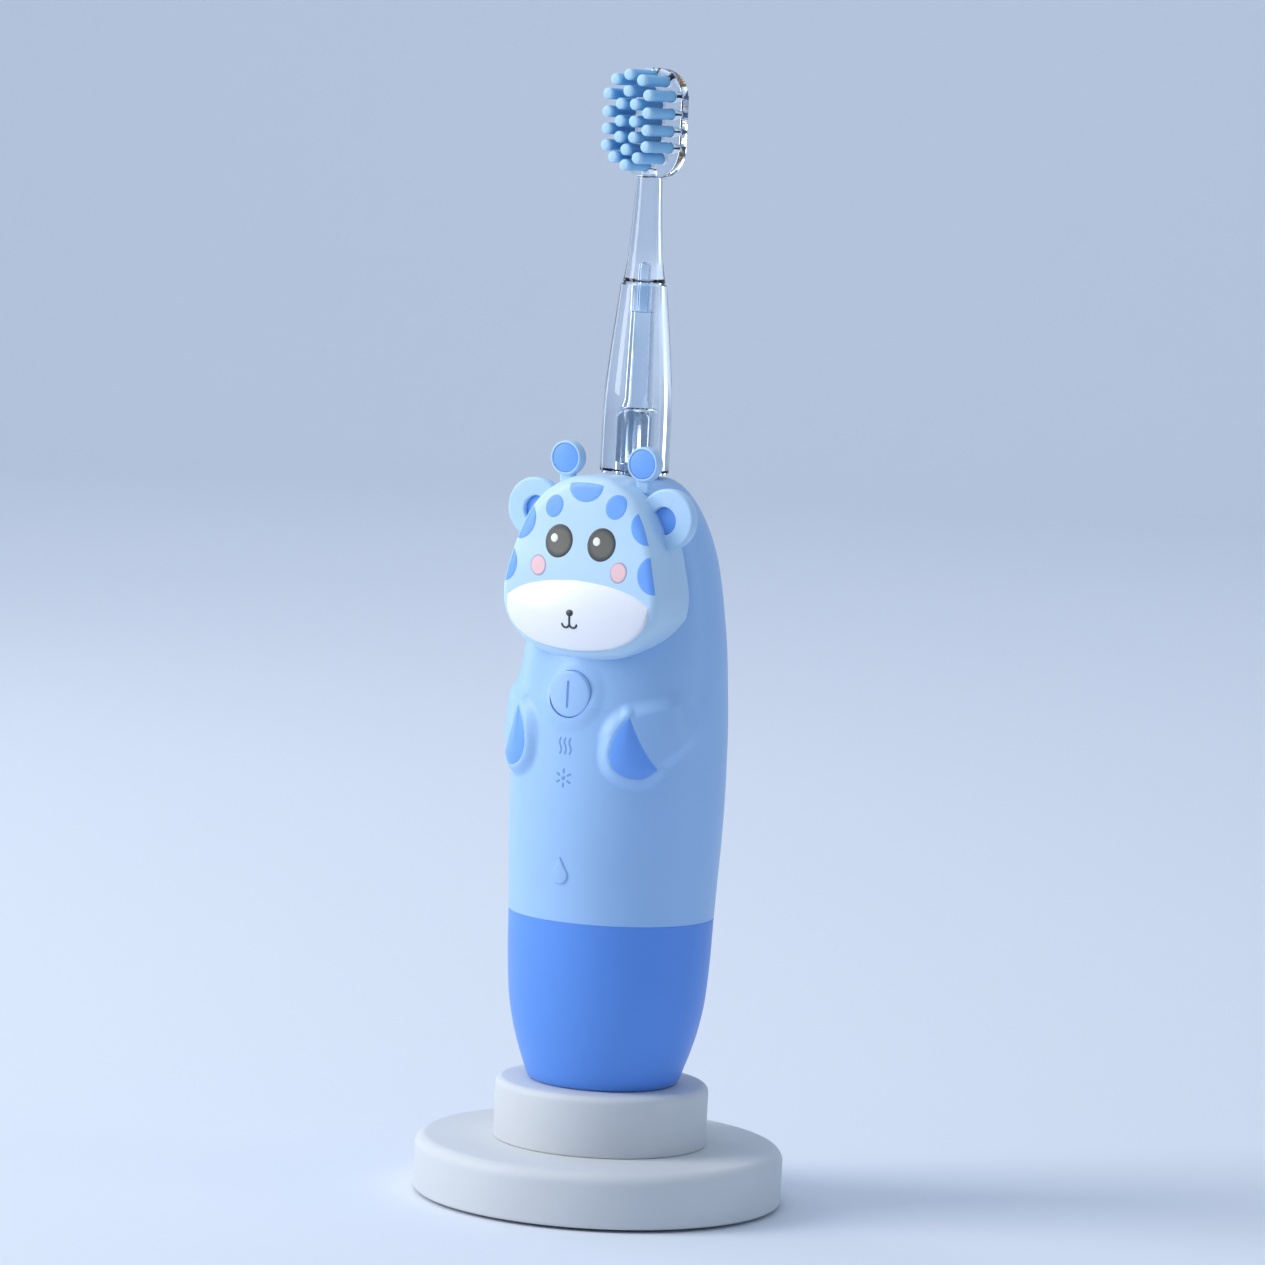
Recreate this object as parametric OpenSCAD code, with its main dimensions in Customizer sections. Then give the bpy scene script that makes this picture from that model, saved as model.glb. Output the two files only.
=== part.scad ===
// Children's sonic toothbrush with a giraffe on its handle, standing on its round charger.
// Frame: origin at the centre of the charger's underside, +Z up, the giraffe looks along -Y.

/* [Charger] */
// Radius of the wide lower tier
lower_r = 32; // [30:0.5:36]
// Height of the lower tier above the table
lower_h = 10; // [10:0.5:12]
// Radius of the upper tier that the handle stands on
upper_r = 18.5; // [17:0.5:20]
// Height of the upper tier above the lower tier
upper_h = 10.5; // [10.5:0.5:12]
// Height of the charging post above the upper tier
post_h = 8.5; // [6:0.5:9]
// Wall thickness of the charger's shells
shell_wall = 2; // [1.6:0.2:2.4]

/* [Handle] */
// Height of the dark base cup
cup_h = 29.4; // [28:0.2:31]
// Radius of the handle at its widest
handle_r = 18.6; // [18:0.1:19]
// Wall thickness of the handle's shells
handle_wall = 1.9; // [1.6:0.1:2.1]
// Diameter of the power button
button_d = 7.9; // [7:0.1:9]
// Travel of the power button
button_travel = 0.6; // [0.3:0.1:0.7]

/* [Brush head] */
// Diameter of the steel drive shaft
shaft_d = 5; // [4.6:0.1:5.2]
// Radial clearance between the shaft and the clear neck
shaft_gap = 0.05; // [0.03:0.01:0.1]
// Diameter of the clear neck where it meets the handle
neck_d = 11.9; // [11.5:0.1:12.5]
// Diameter of one bristle tuft
tuft_d = 2.1; // [1.8:0.1:2.2]
// Free length of a tuft in front of the head plate
tuft_free = 8; // [6:0.5:9]

/* [Hidden] */
$fn = 64;
cut = 0.5;                              // how far a cutting shape passes its target

// charger heights
pad_t = 1.0;
plate_top = 3.0;
board_z = 3.4;
board_t = 1.2;
top_z = lower_h + upper_h;              // the surface that the handle stands on
boss_r = 25;                            // where the three base screws stand
post_r = 4.6;

// handle heights, all measured from the table
cup_top = top_z + cup_h;
body_top = top_z + 104.9;
socket_r = post_r + 0.5;
socket_top = top_z + post_h + 1.0;
button_z = top_z + 68.5;
button_back = -13.6;                     // the button's rear face, at rest
board_front = -7.2;
bar_x = 9;                              // half width of the chassis spine
shaft_r = shaft_d / 2;
shaft_bottom = top_z + 77.2;
shaft_top = top_z + 116.6;

// brush head heights
neck_bottom = body_top + 0.6;
neck_top = neck_bottom + 32.6;
head_low = neck_bottom + 50.4;
head_top = neck_bottom + 69.4;

// Handle outline: [radius share of handle_r, height above the upper tier]
HANDLE_RINGS = [[0.70, 0], [0.757, 3], [0.812, 6], [0.864, 9.5], [0.913, 14.5], [0.942, 21.5], [0.957, 29.4],
    [0.973, 36], [0.99, 42.5], [1, 49.5], [1, 56], [0.993, 63], [0.973, 69.5], [0.945, 76.5], [0.9, 83],
    [0.867, 87], [0.83, 90.5], [0.785, 93.5], [0.724, 96.5], [0.66, 98.9], [0.57, 101.5], [0.46, 103.7],
    [0.35, 104.9]];

function smooth4(a, b, c, d, t) = 0.5 * ((2 * b) + (c - a) * t + (2 * a - 5 * b + 4 * c - d) * t * t
    + (3 * b - a - 3 * c + d) * t * t * t);
// An open smooth curve through the points p, with n steps between each two
function curve(p, n = 4) = [for (i = [0:len(p) - 2], k = [0:n - 1])
    smooth4(p[max(i - 1, 0)], p[i], p[i + 1], p[min(i + 2, len(p) - 1)], k / n), p[len(p) - 1]];
// A left half made from a right half, so that the two close into one outline
function both_sides(half) = concat(half, [for (i = [len(half) - 1:-1:0]) if (half[i].x > 0.01)
    [-half[i].x, half[i].y]]);
function oval(rx, ry, n = 32) = [for (i = [0:n - 1]) [rx * cos(360 * i / n), ry * sin(360 * i / n)]];

function ring_at(h) = lookup(h, [for (r = HANDLE_RINGS) [r.y, r.x * handle_r]]);
// Outline of the handle between two heights, set in by wall
function handle_side(z0, z1, wall = 0) = concat([[ring_at(z0 - top_z) - wall, z0]],
    [for (r = HANDLE_RINGS) if (r.y + top_z > z0 + 0.2 && r.y + top_z < z1 - 0.2)
        [r.x * handle_r - wall, r.y + top_z]], [[ring_at(z1 - top_z) - wall, z1]]);

// A solid of revolution of the handle's own shape
module handle_solid(z0, z1, wall = 0) {
    rotate_extrude() polygon(concat([[0, z0]], handle_side(z0, z1, wall), [[0, z1]]));
}

// A ring with inner radius a and outer radius b
module ring(a, b, z0, z1) {
    rotate_extrude() translate([a, z0]) square([b - a, z1 - z0]);
}

// An outline drawn on the front, extruded from y0 (nearer the front) back to y1
module front_extrude(y0, y1) {
    translate([0, y1, 0]) rotate([90, 0, 0]) linear_extrude(y1 - y0) children();
}

module box(low, high) {
    translate(low) cube(high - low);
}

// ---- charger ----

module rubber_pad() color("dimgray") cylinder(r = lower_r - 3, h = pad_t);

module screw_places() {
    for (a = [30, 150, 270]) rotate(a) translate([boss_r, 0, 0]) children();
}

module base_plate() color("lightsteelblue") {
    difference() {
        translate([0, 0, pad_t]) cylinder(r = lower_r - shell_wall - 0.3, h = plate_top - pad_t);
        screw_places() {
            translate([0, 0, pad_t - cut]) cylinder(r = 1.3, h = plate_top);
            translate([0, 0, pad_t - cut]) cylinder(r = 2.4, h = cut + 1.2);
        }
    }
    for (a = [0, 90, 180, 270]) rotate(a + 45) translate([15, 0, plate_top - 0.2])
        cylinder(r = 2, h = board_z - plate_top + 0.2);
}

module base_screws() color("silver") screw_places() {
    translate([0, 0, pad_t + 0.1]) cylinder(r = 2.2, h = 1.1);
    translate([0, 0, pad_t + 1.1]) cylinder(r = 1.0, h = 5);
}

module tier(r, z0, z1, fillet) {
    rotate_extrude($fn = 96) {
        translate([0, z0]) square([r, z1 - z0 - fillet]);
        translate([0, z0]) square([r - fillet, z1 - z0]);
        translate([r - fillet, z1 - fillet]) circle(r = fillet, $fn = 48);
    }
}

inlet_w = 9;
inlet_h = 3.2;
inlet_z = board_z + board_t;

module inlet_outline(grow) {
    for (x = [-1, 1]) translate([x * (inlet_w - inlet_h) / 2, inlet_h / 2]) circle(r = inlet_h / 2 + grow);
    translate([-(inlet_w - inlet_h) / 2, -grow]) square([inlet_w - inlet_h, inlet_h + 2 * grow]);
}

module inlet_prism(y0, y1, grow) {
    translate([0, 0, inlet_z]) front_extrude(y0, y1) inlet_outline(grow);
}

module lower_housing() color("gainsboro") {
    difference() {
        tier(lower_r, 0.5, lower_h, 2.2);
        cylinder(r = lower_r - shell_wall, h = lower_h - shell_wall);
        cylinder(r = upper_r - 4, h = lower_h + cut);
        inlet_prism(20, lower_r + 2, 0.25);
    }
    screw_places() difference() {
        translate([0, 0, plate_top + 0.05]) cylinder(r = 2.6, h = lower_h - shell_wall - plate_top + 0.2);
        translate([0, 0, plate_top - cut]) cylinder(r = 1.0, h = 4.8);
    }
}

module upper_housing() color("gainsboro") difference() {
    union() {
        tier(upper_r, lower_h, top_z, 1.3);
        translate([0, 0, lower_h - shell_wall]) cylinder(r = upper_r - 4.1, h = shell_wall + 0.1);
    }
    translate([0, 0, lower_h - shell_wall - cut]) cylinder(r = upper_r - 6, h = upper_h + cut);
    translate([0, 0, top_z - 5]) cylinder(r = post_r + 0.05, h = 6);
}

// Hollow post with a closed round tip and a wide foot that the coil sits under
module charging_post() color("gainsboro") rotate_extrude() {
    foot = top_z - 2.1;
    tip = top_z + post_h;
    difference() {
        union() {
            translate([0, lower_h - shell_wall]) square([post_r, tip - lower_h + shell_wall - 1]);
            translate([0, tip - 2]) square([post_r - 1, 2]);
            translate([post_r - 1, tip - 1]) circle(r = 1, $fn = 32);
            translate([0, foot - 1]) square([upper_r - 6.3, 1]);
        }
        translate([-post_r, lower_h - 3]) square([post_r + 2.7, tip - lower_h + 1.6]);
        translate([-9, 0]) square([9, 50]);
    }
}

module ferrite_core() color("darkslategray") translate([0, 0, inlet_z + 0.3])
    cylinder(r = 2.6, h = top_z + post_h - 1.6 - inlet_z - 0.3);

module primary_coil() color("peru") ring(post_r + 0.1, upper_r - 7, lower_h - 1.4, top_z - 3.4);

module charger_board() color("seagreen") difference() {
    translate([0, 0, board_z]) union() {
        cylinder(r = 21, h = board_t);
        translate([-7, 0, 0]) cube([14, 29, board_t]);
    }
    translate([0, 0, board_z - cut]) cylinder(r = 1.6, h = 3);
}

module board_parts() color("dimgray") translate([0, 0, inlet_z]) {
    translate([-14, 4, 0]) cube([6, 6, 1.2]);
    translate([10, 4, 0]) cube([5, 4, 1]);
    translate([15.5, -6, 0]) cylinder(r = 2.5, h = 2.8);
    translate([-16, -6, 0]) cylinder(r = 2, h = 2.8);
    translate([-4, -18, 0]) cube([8, 3, 1]);
}

module power_inlet() color("silver") difference() {
    inlet_prism(23, lower_r - 0.6, 0);
    inlet_prism(24, lower_r + cut, -0.35);
}

module inlet_tongue() color("black") box([-3.2, 24, inlet_z + 1.25], [3.2, lower_r - 1.6, inlet_z + 1.95]);

// ---- handle shells ----

module base_cup() color("royalblue") {
    rotate_extrude() difference() {
        polygon(concat([[0, top_z]], handle_side(top_z, cup_top), [[0, cup_top]]));
        polygon(concat([[0, top_z + 2]], handle_side(top_z + 2, cup_top + 0.1, handle_wall + 0.4),
            [[0, cup_top + cut]]));
        translate([0, top_z - cut]) square([socket_r, 5]);
    }
    ring(socket_r, socket_r + 1.4, top_z + 1, socket_top + 1.4);
    translate([0, 0, socket_top]) cylinder(r = socket_r + 0.5, h = 1.4);
    difference() {
        ring(13.6, ring_at(cup_h) - handle_wall - 0.1, cup_top - 6, cup_top + 6.5);
        ring(14.5, 17, cup_top + 2.6, cup_top + 4.2);
    }
}

module seal_ring() color("black") translate([0, 0, cup_top + 3.4])
    rotate_extrude() translate([(14.55 + ring_at(cup_h) - handle_wall) / 2, 0])
        circle(r = (ring_at(cup_h) - handle_wall - 14.6) / 2, $fn = 32);

arm_angle = 35;                         // each hoof lies this far round from the front

// The hoof's petal outline, seen along the arm: x to the outside, y is the height
HOOF_ROUND = [[-0.3, 86.4], [-2.5, 83.6], [-3.6, 80.2], [-3, 77.4], [-0.7, 75.7], [2.2, 75.5], [4.7, 77.2]];
HOOF_HOLLOW = [[4.7, 77.2], [2.9, 79.5], [1.1, 82.8], [-0.3, 86.4]];

module hoof_outline() translate([0, top_z - 20.5]) polygon(concat(curve(HOOF_ROUND), curve(HOOF_HOLLOW)));

module hoof_prism() {
    for (side = [0, 1]) mirror([side, 0, 0]) rotate(arm_angle) front_extrude(-24, -8) hoof_outline();
}

// The forearm: a round-ended bar lying on the body from the side down to the hoof
module arms() {
    for (side = [0, 1]) mirror([side, 0, 0]) {
        rotate(arm_angle) translate([0.2, -14.7, top_z + 59.9]) sphere(r = 5.2, $fn = 32);
        hull() {
            rotate(arm_angle) translate([0.6, -15.2, top_z + 60.8]) sphere(r = 4.4, $fn = 24);
            rotate(74) translate([0, -15, top_z + 67]) sphere(r = 3.8, $fn = 24);
        }
    }
}

module indicator_marks() {
    intersection() {
        front_extrude(-20, -14) children();
        difference() {
            handle_solid(cup_top, body_top - 20);
            handle_solid(cup_top - 1, body_top - 19, handle_wall);
        }
    }
}

module button_bore(r) {
    translate([0, -10, button_z]) rotate([90, 0, 0]) cylinder(r = r, h = 12);
}

module upper_body() color("lightskyblue") difference() {
    union() {
        difference() {
            handle_solid(cup_top, body_top);
            handle_solid(cup_top, body_top - 4.4, handle_wall);
            translate([0, 0, cup_top - cut]) cylinder(r = ring_at(cup_h) - handle_wall, h = 2 * cut);
        }
        difference() {
            arms();
            handle_solid(cup_top, body_top - 4, 0.3);
        }
    }
    translate([0, 0, body_top - 8]) cylinder(r = 4.4, h = 9);
    button_bore(button_d / 2 + 0.3);
    difference() {
        hoof_prism();
        handle_solid(cup_top, body_top - 4, 0.1);
    }
    front_extrude(-20, -14) wave_outline();
    front_extrude(-20, -14) star_outline();
    front_extrude(-24, seat_y) face_outline(-0.05);
}

module hooves() color("cornflowerblue") intersection() {
    difference() {
        hoof_prism();
        handle_solid(cup_top, body_top - 4, 0.1);
    }
    handle_solid(cup_top, body_top - 4, -0.95);
}

// ---- marks on the front ----

wave_z = top_z + 59.7;
star_z = top_z + 54.2;
badge_z = top_z + 38.2;

// Three upright waves side by side
module wave_outline() for (x = [-0.95, 0, 0.95]) {
    steps = 10;
    side = [for (k = [0:steps]) [x + 0.2 * sin(360 * k / steps), wave_z - 1.4 + 2.8 * k / steps]];
    polygon(concat([for (p = side) [p.x - 0.17, p.y]],
        [for (k = [steps:-1:0]) [side[k].x + 0.17, side[k].y]]));
}

// A small centre with six short rays
module star_outline() {
    translate([0, star_z]) {
        for (a = [0:60:300]) rotate(a + 30) translate([0.85, -0.2]) square([0.75, 0.4]);
        circle(r = 0.45, $fn = 24);
    }
}

module droplet_outline() translate([0, badge_z]) {
    low_r = 1.55;
    polygon(concat([[0, 2.4]], [for (a = [160:15:380]) [low_r * cos(a), -0.7 + low_r * sin(a)]]));
}

module wave_indicator() color("steelblue") indicator_marks() wave_outline();
module star_indicator() color("steelblue") indicator_marks() star_outline();

module droplet_badge() color("lightskyblue") intersection() {
    difference() {
        front_extrude(-20, -14) droplet_outline();
        handle_solid(cup_top, body_top - 20);
    }
    handle_solid(cup_top, body_top - 20, -0.35);
}

// ---- power button ----

// A disc with a thin upright line cut in its face, kept in by a wider rim behind the wall
module power_button() color("lightskyblue") difference() {
    translate([0, button_back, button_z]) rotate([90, 0, 0]) {
        cylinder(r = button_d / 2, h = 4.3);
        cylinder(r = button_d / 2 + 0.6, h = 0.9);
    }
    box([-0.2, button_back - 5, button_z - 2.3], [0.2, button_back - 4, button_z + 2.3]);
}

module button_gasket() color("gray") translate([0, button_back - 1.05, button_z]) rotate([90, 0, 0])
    difference() {
        cylinder(r = button_d / 2 + 1, h = 0.35);
        translate([0, 0, -cut]) cylinder(r = button_d / 2 + 0.25, h = 2);
    }

module button_switch() color("black") translate([0, board_front - 0.02, button_z]) rotate([90, 0, 0]) {
    translate([-3, -3, 0]) cube([6, 6, 4.6]);
    cylinder(r = 1.5, h = -0.1 - button_back + board_front - button_travel);
}

// ---- inside the handle ----

module coil_bobbin() color("whitesmoke") rotate_extrude() difference() {
    translate([socket_r + 1.5, top_z + 2.1]) square([4, 9.2]);
    translate([socket_r + 2.4, top_z + 3.1]) square([4, 7.2]);
}

module receive_coil() color("peru") ring(socket_r + 2.4, socket_r + 4.9, top_z + 3.1, top_z + 10.3);

lead_r = 0.5;
module coil_leads() color("firebrick") for (x = [-2.5, 2.5]) translate([x, board_front - lead_r - 0.03, 0]) {
    translate([0, 0, top_z + 11.32]) cylinder(r = lead_r, h = chassis_low + 7 - top_z - 11.32, $fn = 16);
    translate([0, 0, button_z + 3.4]) cylinder(r = lead_r, h = motor_low - button_z - 3.45, $fn = 16);
}

chassis_low = top_z + 13.5;
chassis_top = top_z + 73;

module board_screw_places() for (z = [chassis_low + 12, chassis_top - 12]) translate([4.6, 0, z]) children();

module chassis() color("whitesmoke") difference() {
    union() {
        box([-bar_x, -6, chassis_low], [bar_x, -4.2, chassis_top]);
        translate([0, 0, chassis_low]) cylinder(r = 13.2, h = 1.8);
        translate([0, 0, chassis_top - 1.8]) cylinder(r = 14.4, h = 1.8);
        for (side = [0, 1]) mirror([side, 0, 0])
            box([bar_x - 1.6, -6, chassis_low + 1], [bar_x, 2, chassis_top - 1]);
    }
    box([-4, -15, chassis_low - cut], [4, -6.4, chassis_low + 2]);
    box([-8, -15, chassis_top - 2.5], [8, -6, chassis_top + 1]);
    translate([0, 0, chassis_top - 3]) cylinder(r = 1.2, h = 5);
    board_screw_places() translate([0, -3, 0]) rotate([90, 0, 0]) cylinder(r = 0.7, h = 5);
}

battery_y = 3.1;
battery_low = chassis_low + 2.3;

module battery() color("slateblue") translate([0, battery_y, battery_low]) {
    cylinder(r = 7, h = 48);
    translate([0, 0, 48]) cylinder(r = 2.5, h = 1);
}

module battery_tabs() color("silver") {
    translate([0, battery_y, battery_low - 0.4]) cylinder(r = 3, h = 0.35);
    translate([0, battery_y, battery_low + 49.05]) cylinder(r = 3, h = 0.35);
}

module control_board() color("seagreen") difference() {
    box([-7, board_front, chassis_low + 4], [7, -6.05, button_z + 5]);
    board_screw_places() translate([0, -3, 0]) rotate([90, 0, 0]) cylinder(r = 0.9, h = 5);
}

module board_screws() color("silver") board_screw_places() translate([0, board_front, 0]) {
    rotate([90, 0, 0]) cylinder(r = 1.5, h = 0.9);
    rotate([-90, 0, 0]) cylinder(r = 0.68, h = 2.9);
}

motor_low = shaft_bottom + 0.5;
motor_top = motor_low + 16.6;

module motor_can() color("silver") rotate_extrude() difference() {
    translate([0, motor_low + 1]) square([9.6, motor_top - motor_low - 1]);
    translate([0, motor_low]) square([8.8, motor_top - motor_low - 0.9]);
    translate([0, motor_low]) square([4.2, 30]);
}

module motor_end_cap() color("gray") ring(3.3, 9.6, motor_low, motor_low + 0.95);

module stator_coils() color("peru") for (a = [0, 180]) rotate(a)
    translate([0, 0, motor_low + 3.6]) rotate_extrude(angle = 120) translate([5.7, 0]) square([2.9, 10.4]);

module front_bearing() color("goldenrod") ring(shaft_r + 0.06, 4.15, motor_top - 2.4, motor_top);
module rear_bearing() color("goldenrod") ring(shaft_r + 0.06, 3.25, motor_low - 0.6, motor_low + 1.9);
module torsion_bar() color("silver") translate([0, 0, chassis_top - 1.7])
    cylinder(r = 1.15, h = shaft_bottom - chassis_top + 1.65);

// Rubber ring that keeps water out round the drive shaft
module neck_seal() color("gray") ring(shaft_r + 0.1, 4.35, body_top - 7.5, body_top + 0.1);

// ---- giraffe ----

FACE_HALF = [[0, 94.5], [4, 94.8], [8.8, 96.0], [12.8, 98.6], [14.9, 102.0], [15.45, 105.4], [15.2, 107.8],
    [14.5, 110.8], [13.6, 114.2], [12.4, 117.5], [10.9, 120.3], [9, 122.6], [6.5, 124.4], [3.4, 125.7],
    [0, 126]];
MUZZLE_LOW = [[0, 96.4], [4, 96.65], [8.1, 97.5], [11.4, 99.3], [13.4, 101.8], [14, 104.8]];
MUZZLE_TOP = [[14, 104.8], [11, 106.6], [6, 107.9], [0, 108.4]];
face_y = -16.6;                         // the front of the face, before the muzzle swells from it
face_back = -6.6;
seat_y = -14.7;                         // the body is cut flat here behind the face

module raised() translate([0, top_z - 20.5]) children();

module face_outline(inset = 0) raised() offset(delta = -inset) polygon(both_sides(curve(FACE_HALF, 3)));

// Chamfered block of the head, hollow behind the face
module face_block(inset) {
    hull() {
        front_extrude(-14.4 + inset, face_back + 3 * inset) face_outline(inset);
        front_extrude(face_y + inset, face_back + 2) face_outline(1.7 + inset);
    }
}

module face_shell() color("paleturquoise") difference() {
    face_block(0);
    intersection() {
        face_block(1.8);
        front_extrude(-14.8, 0) face_outline(3);
    }
    intersection() {
        handle_solid(cup_top, body_top, -0.05);
        box([-upper_r, seat_y - 0.02, cup_top], [upper_r, 0, body_top]);
    }
    muzzle_pocket();
    front_extrude(face_y - 1, face_y + 0.4) {
        eye_outline();
        cheek_outline();
        spot_outline();
    }
    for (side = [-1, 1]) {
        translate([side * ear_x, ear_y + 1.1, ear_z]) rotate([90, 0, 0]) cylinder(r = ear_r + 0.02, h = 2.22);
        translate([side * horn_x, horn_y + 1.1, horn_z]) horn_stem();
    }
}

module muzzle_outline() raised() polygon(both_sides(concat(curve(MUZZLE_LOW, 3), curve(MUZZLE_TOP, 3))));
module muzzle_pocket() front_extrude(face_y - 3, face_y + 0.6) muzzle_outline();

crown_r = 46;                           // radius of the muzzle's swell

module muzzle() color("white") difference() {
    intersection() {
        front_extrude(face_y - 3, face_y + 0.6) muzzle_outline();
        translate([0, face_y - 1.9 + crown_r, top_z + 81.3]) sphere(r = crown_r, $fn = 240);
    }
    mouth_prism();
}

// A short nose line that opens into a small smile
module mouth_outline() translate([0, top_z + 80.9]) {
    translate([-0.22, -0.4]) square([0.44, 1.9]);
    translate([0, 1.5]) circle(r = 0.62, $fn = 24);
    for (side = [-1, 1]) translate([side * 0.72, -0.3]) difference() {
        circle(r = 0.94, $fn = 32);
        circle(r = 0.5, $fn = 32);
        translate([-1.2, 0]) square([2.4, 1.2]);
    }
}

module mouth_prism() front_extrude(face_y - 3, face_y - 1.2) mouth_outline();

module mouth() color("dimgray") intersection() {
    mouth_prism();
    translate([0, face_y - 1.9 + crown_r, top_z + 81.3]) sphere(r = crown_r, $fn = 240);
}

module eye_outline() for (x = [-4.2, 4.15]) translate([x, top_z + 94.2])
    rotate(-20) polygon(oval(2.72, 2.95));
module glint_outline() for (x = [-5.15, 3.2]) translate([x, top_z + 94.7]) circle(r = 0.72, $fn = 24);
module cheek_outline() for (x = [-1, 1]) translate([x * 7.9, top_z + 89.8]) rotate(-15 * x)
    polygon(oval(1.65, 1.9, 24));

module inlay(t = 0.4) front_extrude(face_y, face_y + t) children();

module eyes() color("dimgray") inlay() difference() {
    eye_outline();
    glint_outline();
}
module eye_glints() color("white") inlay() glint_outline();
module cheeks() color("pink") inlay() cheek_outline();

// Spots: [x, height, half width, half height, turn]; the edge ones are cut by the face's border
SPOTS = [[-5.8, 120.5, 1.7, 2.0, -25], [6.2, 121.2, 1.95, 2.15, -25], [0, 124.3, 3.2, 2.7, 0],
    [12.3, 118.3, 2.9, 3.1, 20], [14.4, 110.3, 3, 3.3, 8], [-12, 117.5, 2.6, 3.2, -25],
    [-14.6, 110, 2.3, 3, -8]];

module spot_outline() intersection() {
    raised() for (s = SPOTS) translate([s[0], s[1]]) rotate(s[4]) polygon(oval(s[2], s[3], 24));
    face_outline(1.75);
}
module spots() color("cornflowerblue") inlay() spot_outline();

ear_x = 13.1;
ear_y = -10;
ear_z = top_z + 99;
ear_r = 5.2;
ear_pad_x = 12.65;                      // the ear's hollow is a little nearer the middle than the ear
ear_pad_r = 2.3;
ear_hollow = 1.2;                       // depth of that hollow
horn_x = 7.6;
horn_y = -10.2;
horn_z = top_z + 107.9;
horn_r = 2.95;

module ear_disc(side) {
    translate([side * ear_x, ear_y + 1, ear_z]) rotate([90, 0, 0]) difference() {
        cylinder(r = ear_r, h = 2);
        translate([side * (ear_pad_x - ear_x), -0.3, 2 - ear_hollow]) cylinder(r = ear_pad_r, h = 2);
    }
}

module ears() color("lightskyblue") difference() {
    for (side = [-1, 1]) ear_disc(side);
    handle_solid(cup_top, body_top, -0.1);
}

module ear_inserts() color("cornflowerblue") difference() {
    for (side = [-1, 1]) translate([side * ear_pad_x, ear_y - 1 + ear_hollow, ear_z - 0.3]) rotate([90, 0, 0])
        cylinder(r = ear_pad_r, h = 0.3);
    handle_solid(cup_top, body_top, -0.1);
}

module horn_stem() translate([-1.3, -1, -5.4]) cube([2.6, 2, 4.7]);

module horns() color("lightskyblue") for (side = [-1, 1]) translate([side * horn_x, horn_y + 1.1, horn_z]) {
    difference() {
        union() {
            rotate([90, 0, 0]) cylinder(r = horn_r, h = 2.4);
            horn_stem();
        }
        rotate([90, 0, 0]) translate([0, 0, 2]) cylinder(r = 2.6, h = 2);
    }
}

module horn_pads() color("cornflowerblue") for (side = [-1, 1])
    translate([side * horn_x, horn_y - 0.9, horn_z]) rotate([90, 0, 0]) cylinder(r = 2.6, h = 0.3);

// ---- drive and brush head ----

module drive_shaft() color("silver") difference() {
    rotate_extrude() {
        translate([0, shaft_bottom]) square([shaft_r, shaft_top - shaft_bottom - 1.2]);
        translate([0, shaft_top - 2]) square([shaft_r - 1.2, 2]);
        translate([shaft_r - 1.2, shaft_top - 1.2]) intersection() {
            circle(r = 1.2, $fn = 32);
            square(2);
        }
    }
    box([-4, -4, neck_bottom + 1.5], [4, -1.75, shaft_top + 1]);
}

module rotor_magnet() color("dimgray") ring(shaft_r, 5.3, motor_low + 3.6, motor_low + 14);

bore_r = shaft_r + shaft_gap;

// Clear tapered neck; the bore takes the shaft, the cavity above it saves plastic
module brush_neck() color("aliceblue", 0.4) {
    low = neck_d / 2;
    rotate_extrude() difference() {
        polygon(concat([[0, neck_bottom]], curve([[low, neck_bottom], [low * 0.985, neck_bottom + 12],
            [low * 0.87, neck_bottom + 21], [low * 0.69, neck_bottom + 31], [low * 0.67, neck_top]]),
            [[0, neck_top]]));
        translate([-1, neck_bottom - 1]) square([bore_r + 1, shaft_top - neck_bottom + 1.2]);
        polygon([[-1, shaft_top + 0.1], [1.7, shaft_top + 0.1], [1.5, neck_top - 5], [1.6, neck_top - 4.9],
            [1.6, neck_top + 1], [-1, neck_top + 1]]);
    }
    box([-1.9, -2.3, neck_bottom + 2], [1.9, -1.85, shaft_top + 0.15]);
}

// Clear stem and head plate, plugged into the neck
module brush_stem() color("aliceblue", 0.4) {
    low = neck_d / 2 * 0.62;
    difference() {
        union() {
            rotate_extrude() difference() {
                union() {
                    polygon(concat([[0, neck_top]], curve([[low, neck_top], [low * 0.85, neck_top + 3.2],
                        [low * 0.74, neck_top + 8], [low * 0.64, neck_top + 14], [low * 0.56, head_low + 1],
                        [low * 0.3, head_low + 4]]),
                        [[0, head_low + 4]]));
                    translate([0, neck_top - 4.8]) square([1.55, 5]);
                }
                translate([-1, neck_top - 6]) square([1.75, 9]);
            }
            head_block();
        }
        tuft_places() translate([0, -tuft_free, 0]) rotate([-90, 0, 0])
            cylinder(r = tuft_r, h = tuft_free + 1, $fn = 24);
    }
}

tuft_r = tuft_d / 2 - 0.05;
head_half = 5.9;
head_back = 2.4;
head_front = -0.9;

module head_block() {
    mid = (head_low + head_top) / 2;
    half_h = (head_top - head_low) / 2;
    round_r = 5;
    hull() for (inset = [0, 1]) front_extrude(head_front + 0.8 * (1 - inset), head_back - 0.6 * (1 - inset))
        hull() for (x = [-1, 1], z = [-1, 1])
            translate([x * (head_half - round_r), mid + z * (half_h - round_r)])
                circle(r = round_r - 0.7 * inset, $fn = 32);
}

// Tufts stand in staggered rows: [half spacing (0 for one on the middle line), height in the head plate]
TUFT_ROWS = [[0, 17.6], [2.55, 16.7], [0, 14.8], [3.9, 14.2], [1.39, 12.6], [3.9, 11.2], [1.39, 9.7],
    [3.9, 8.3], [1.39, 7.0], [3.9, 5.5], [0, 4.9], [2.3, 3.55], [0, 2.3]];

module tuft_places() for (row = TUFT_ROWS, side = row[0] == 0 ? [1] : [-1, 1])
    translate([side * row[0], 0, head_low + row[1]]) children();

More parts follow.
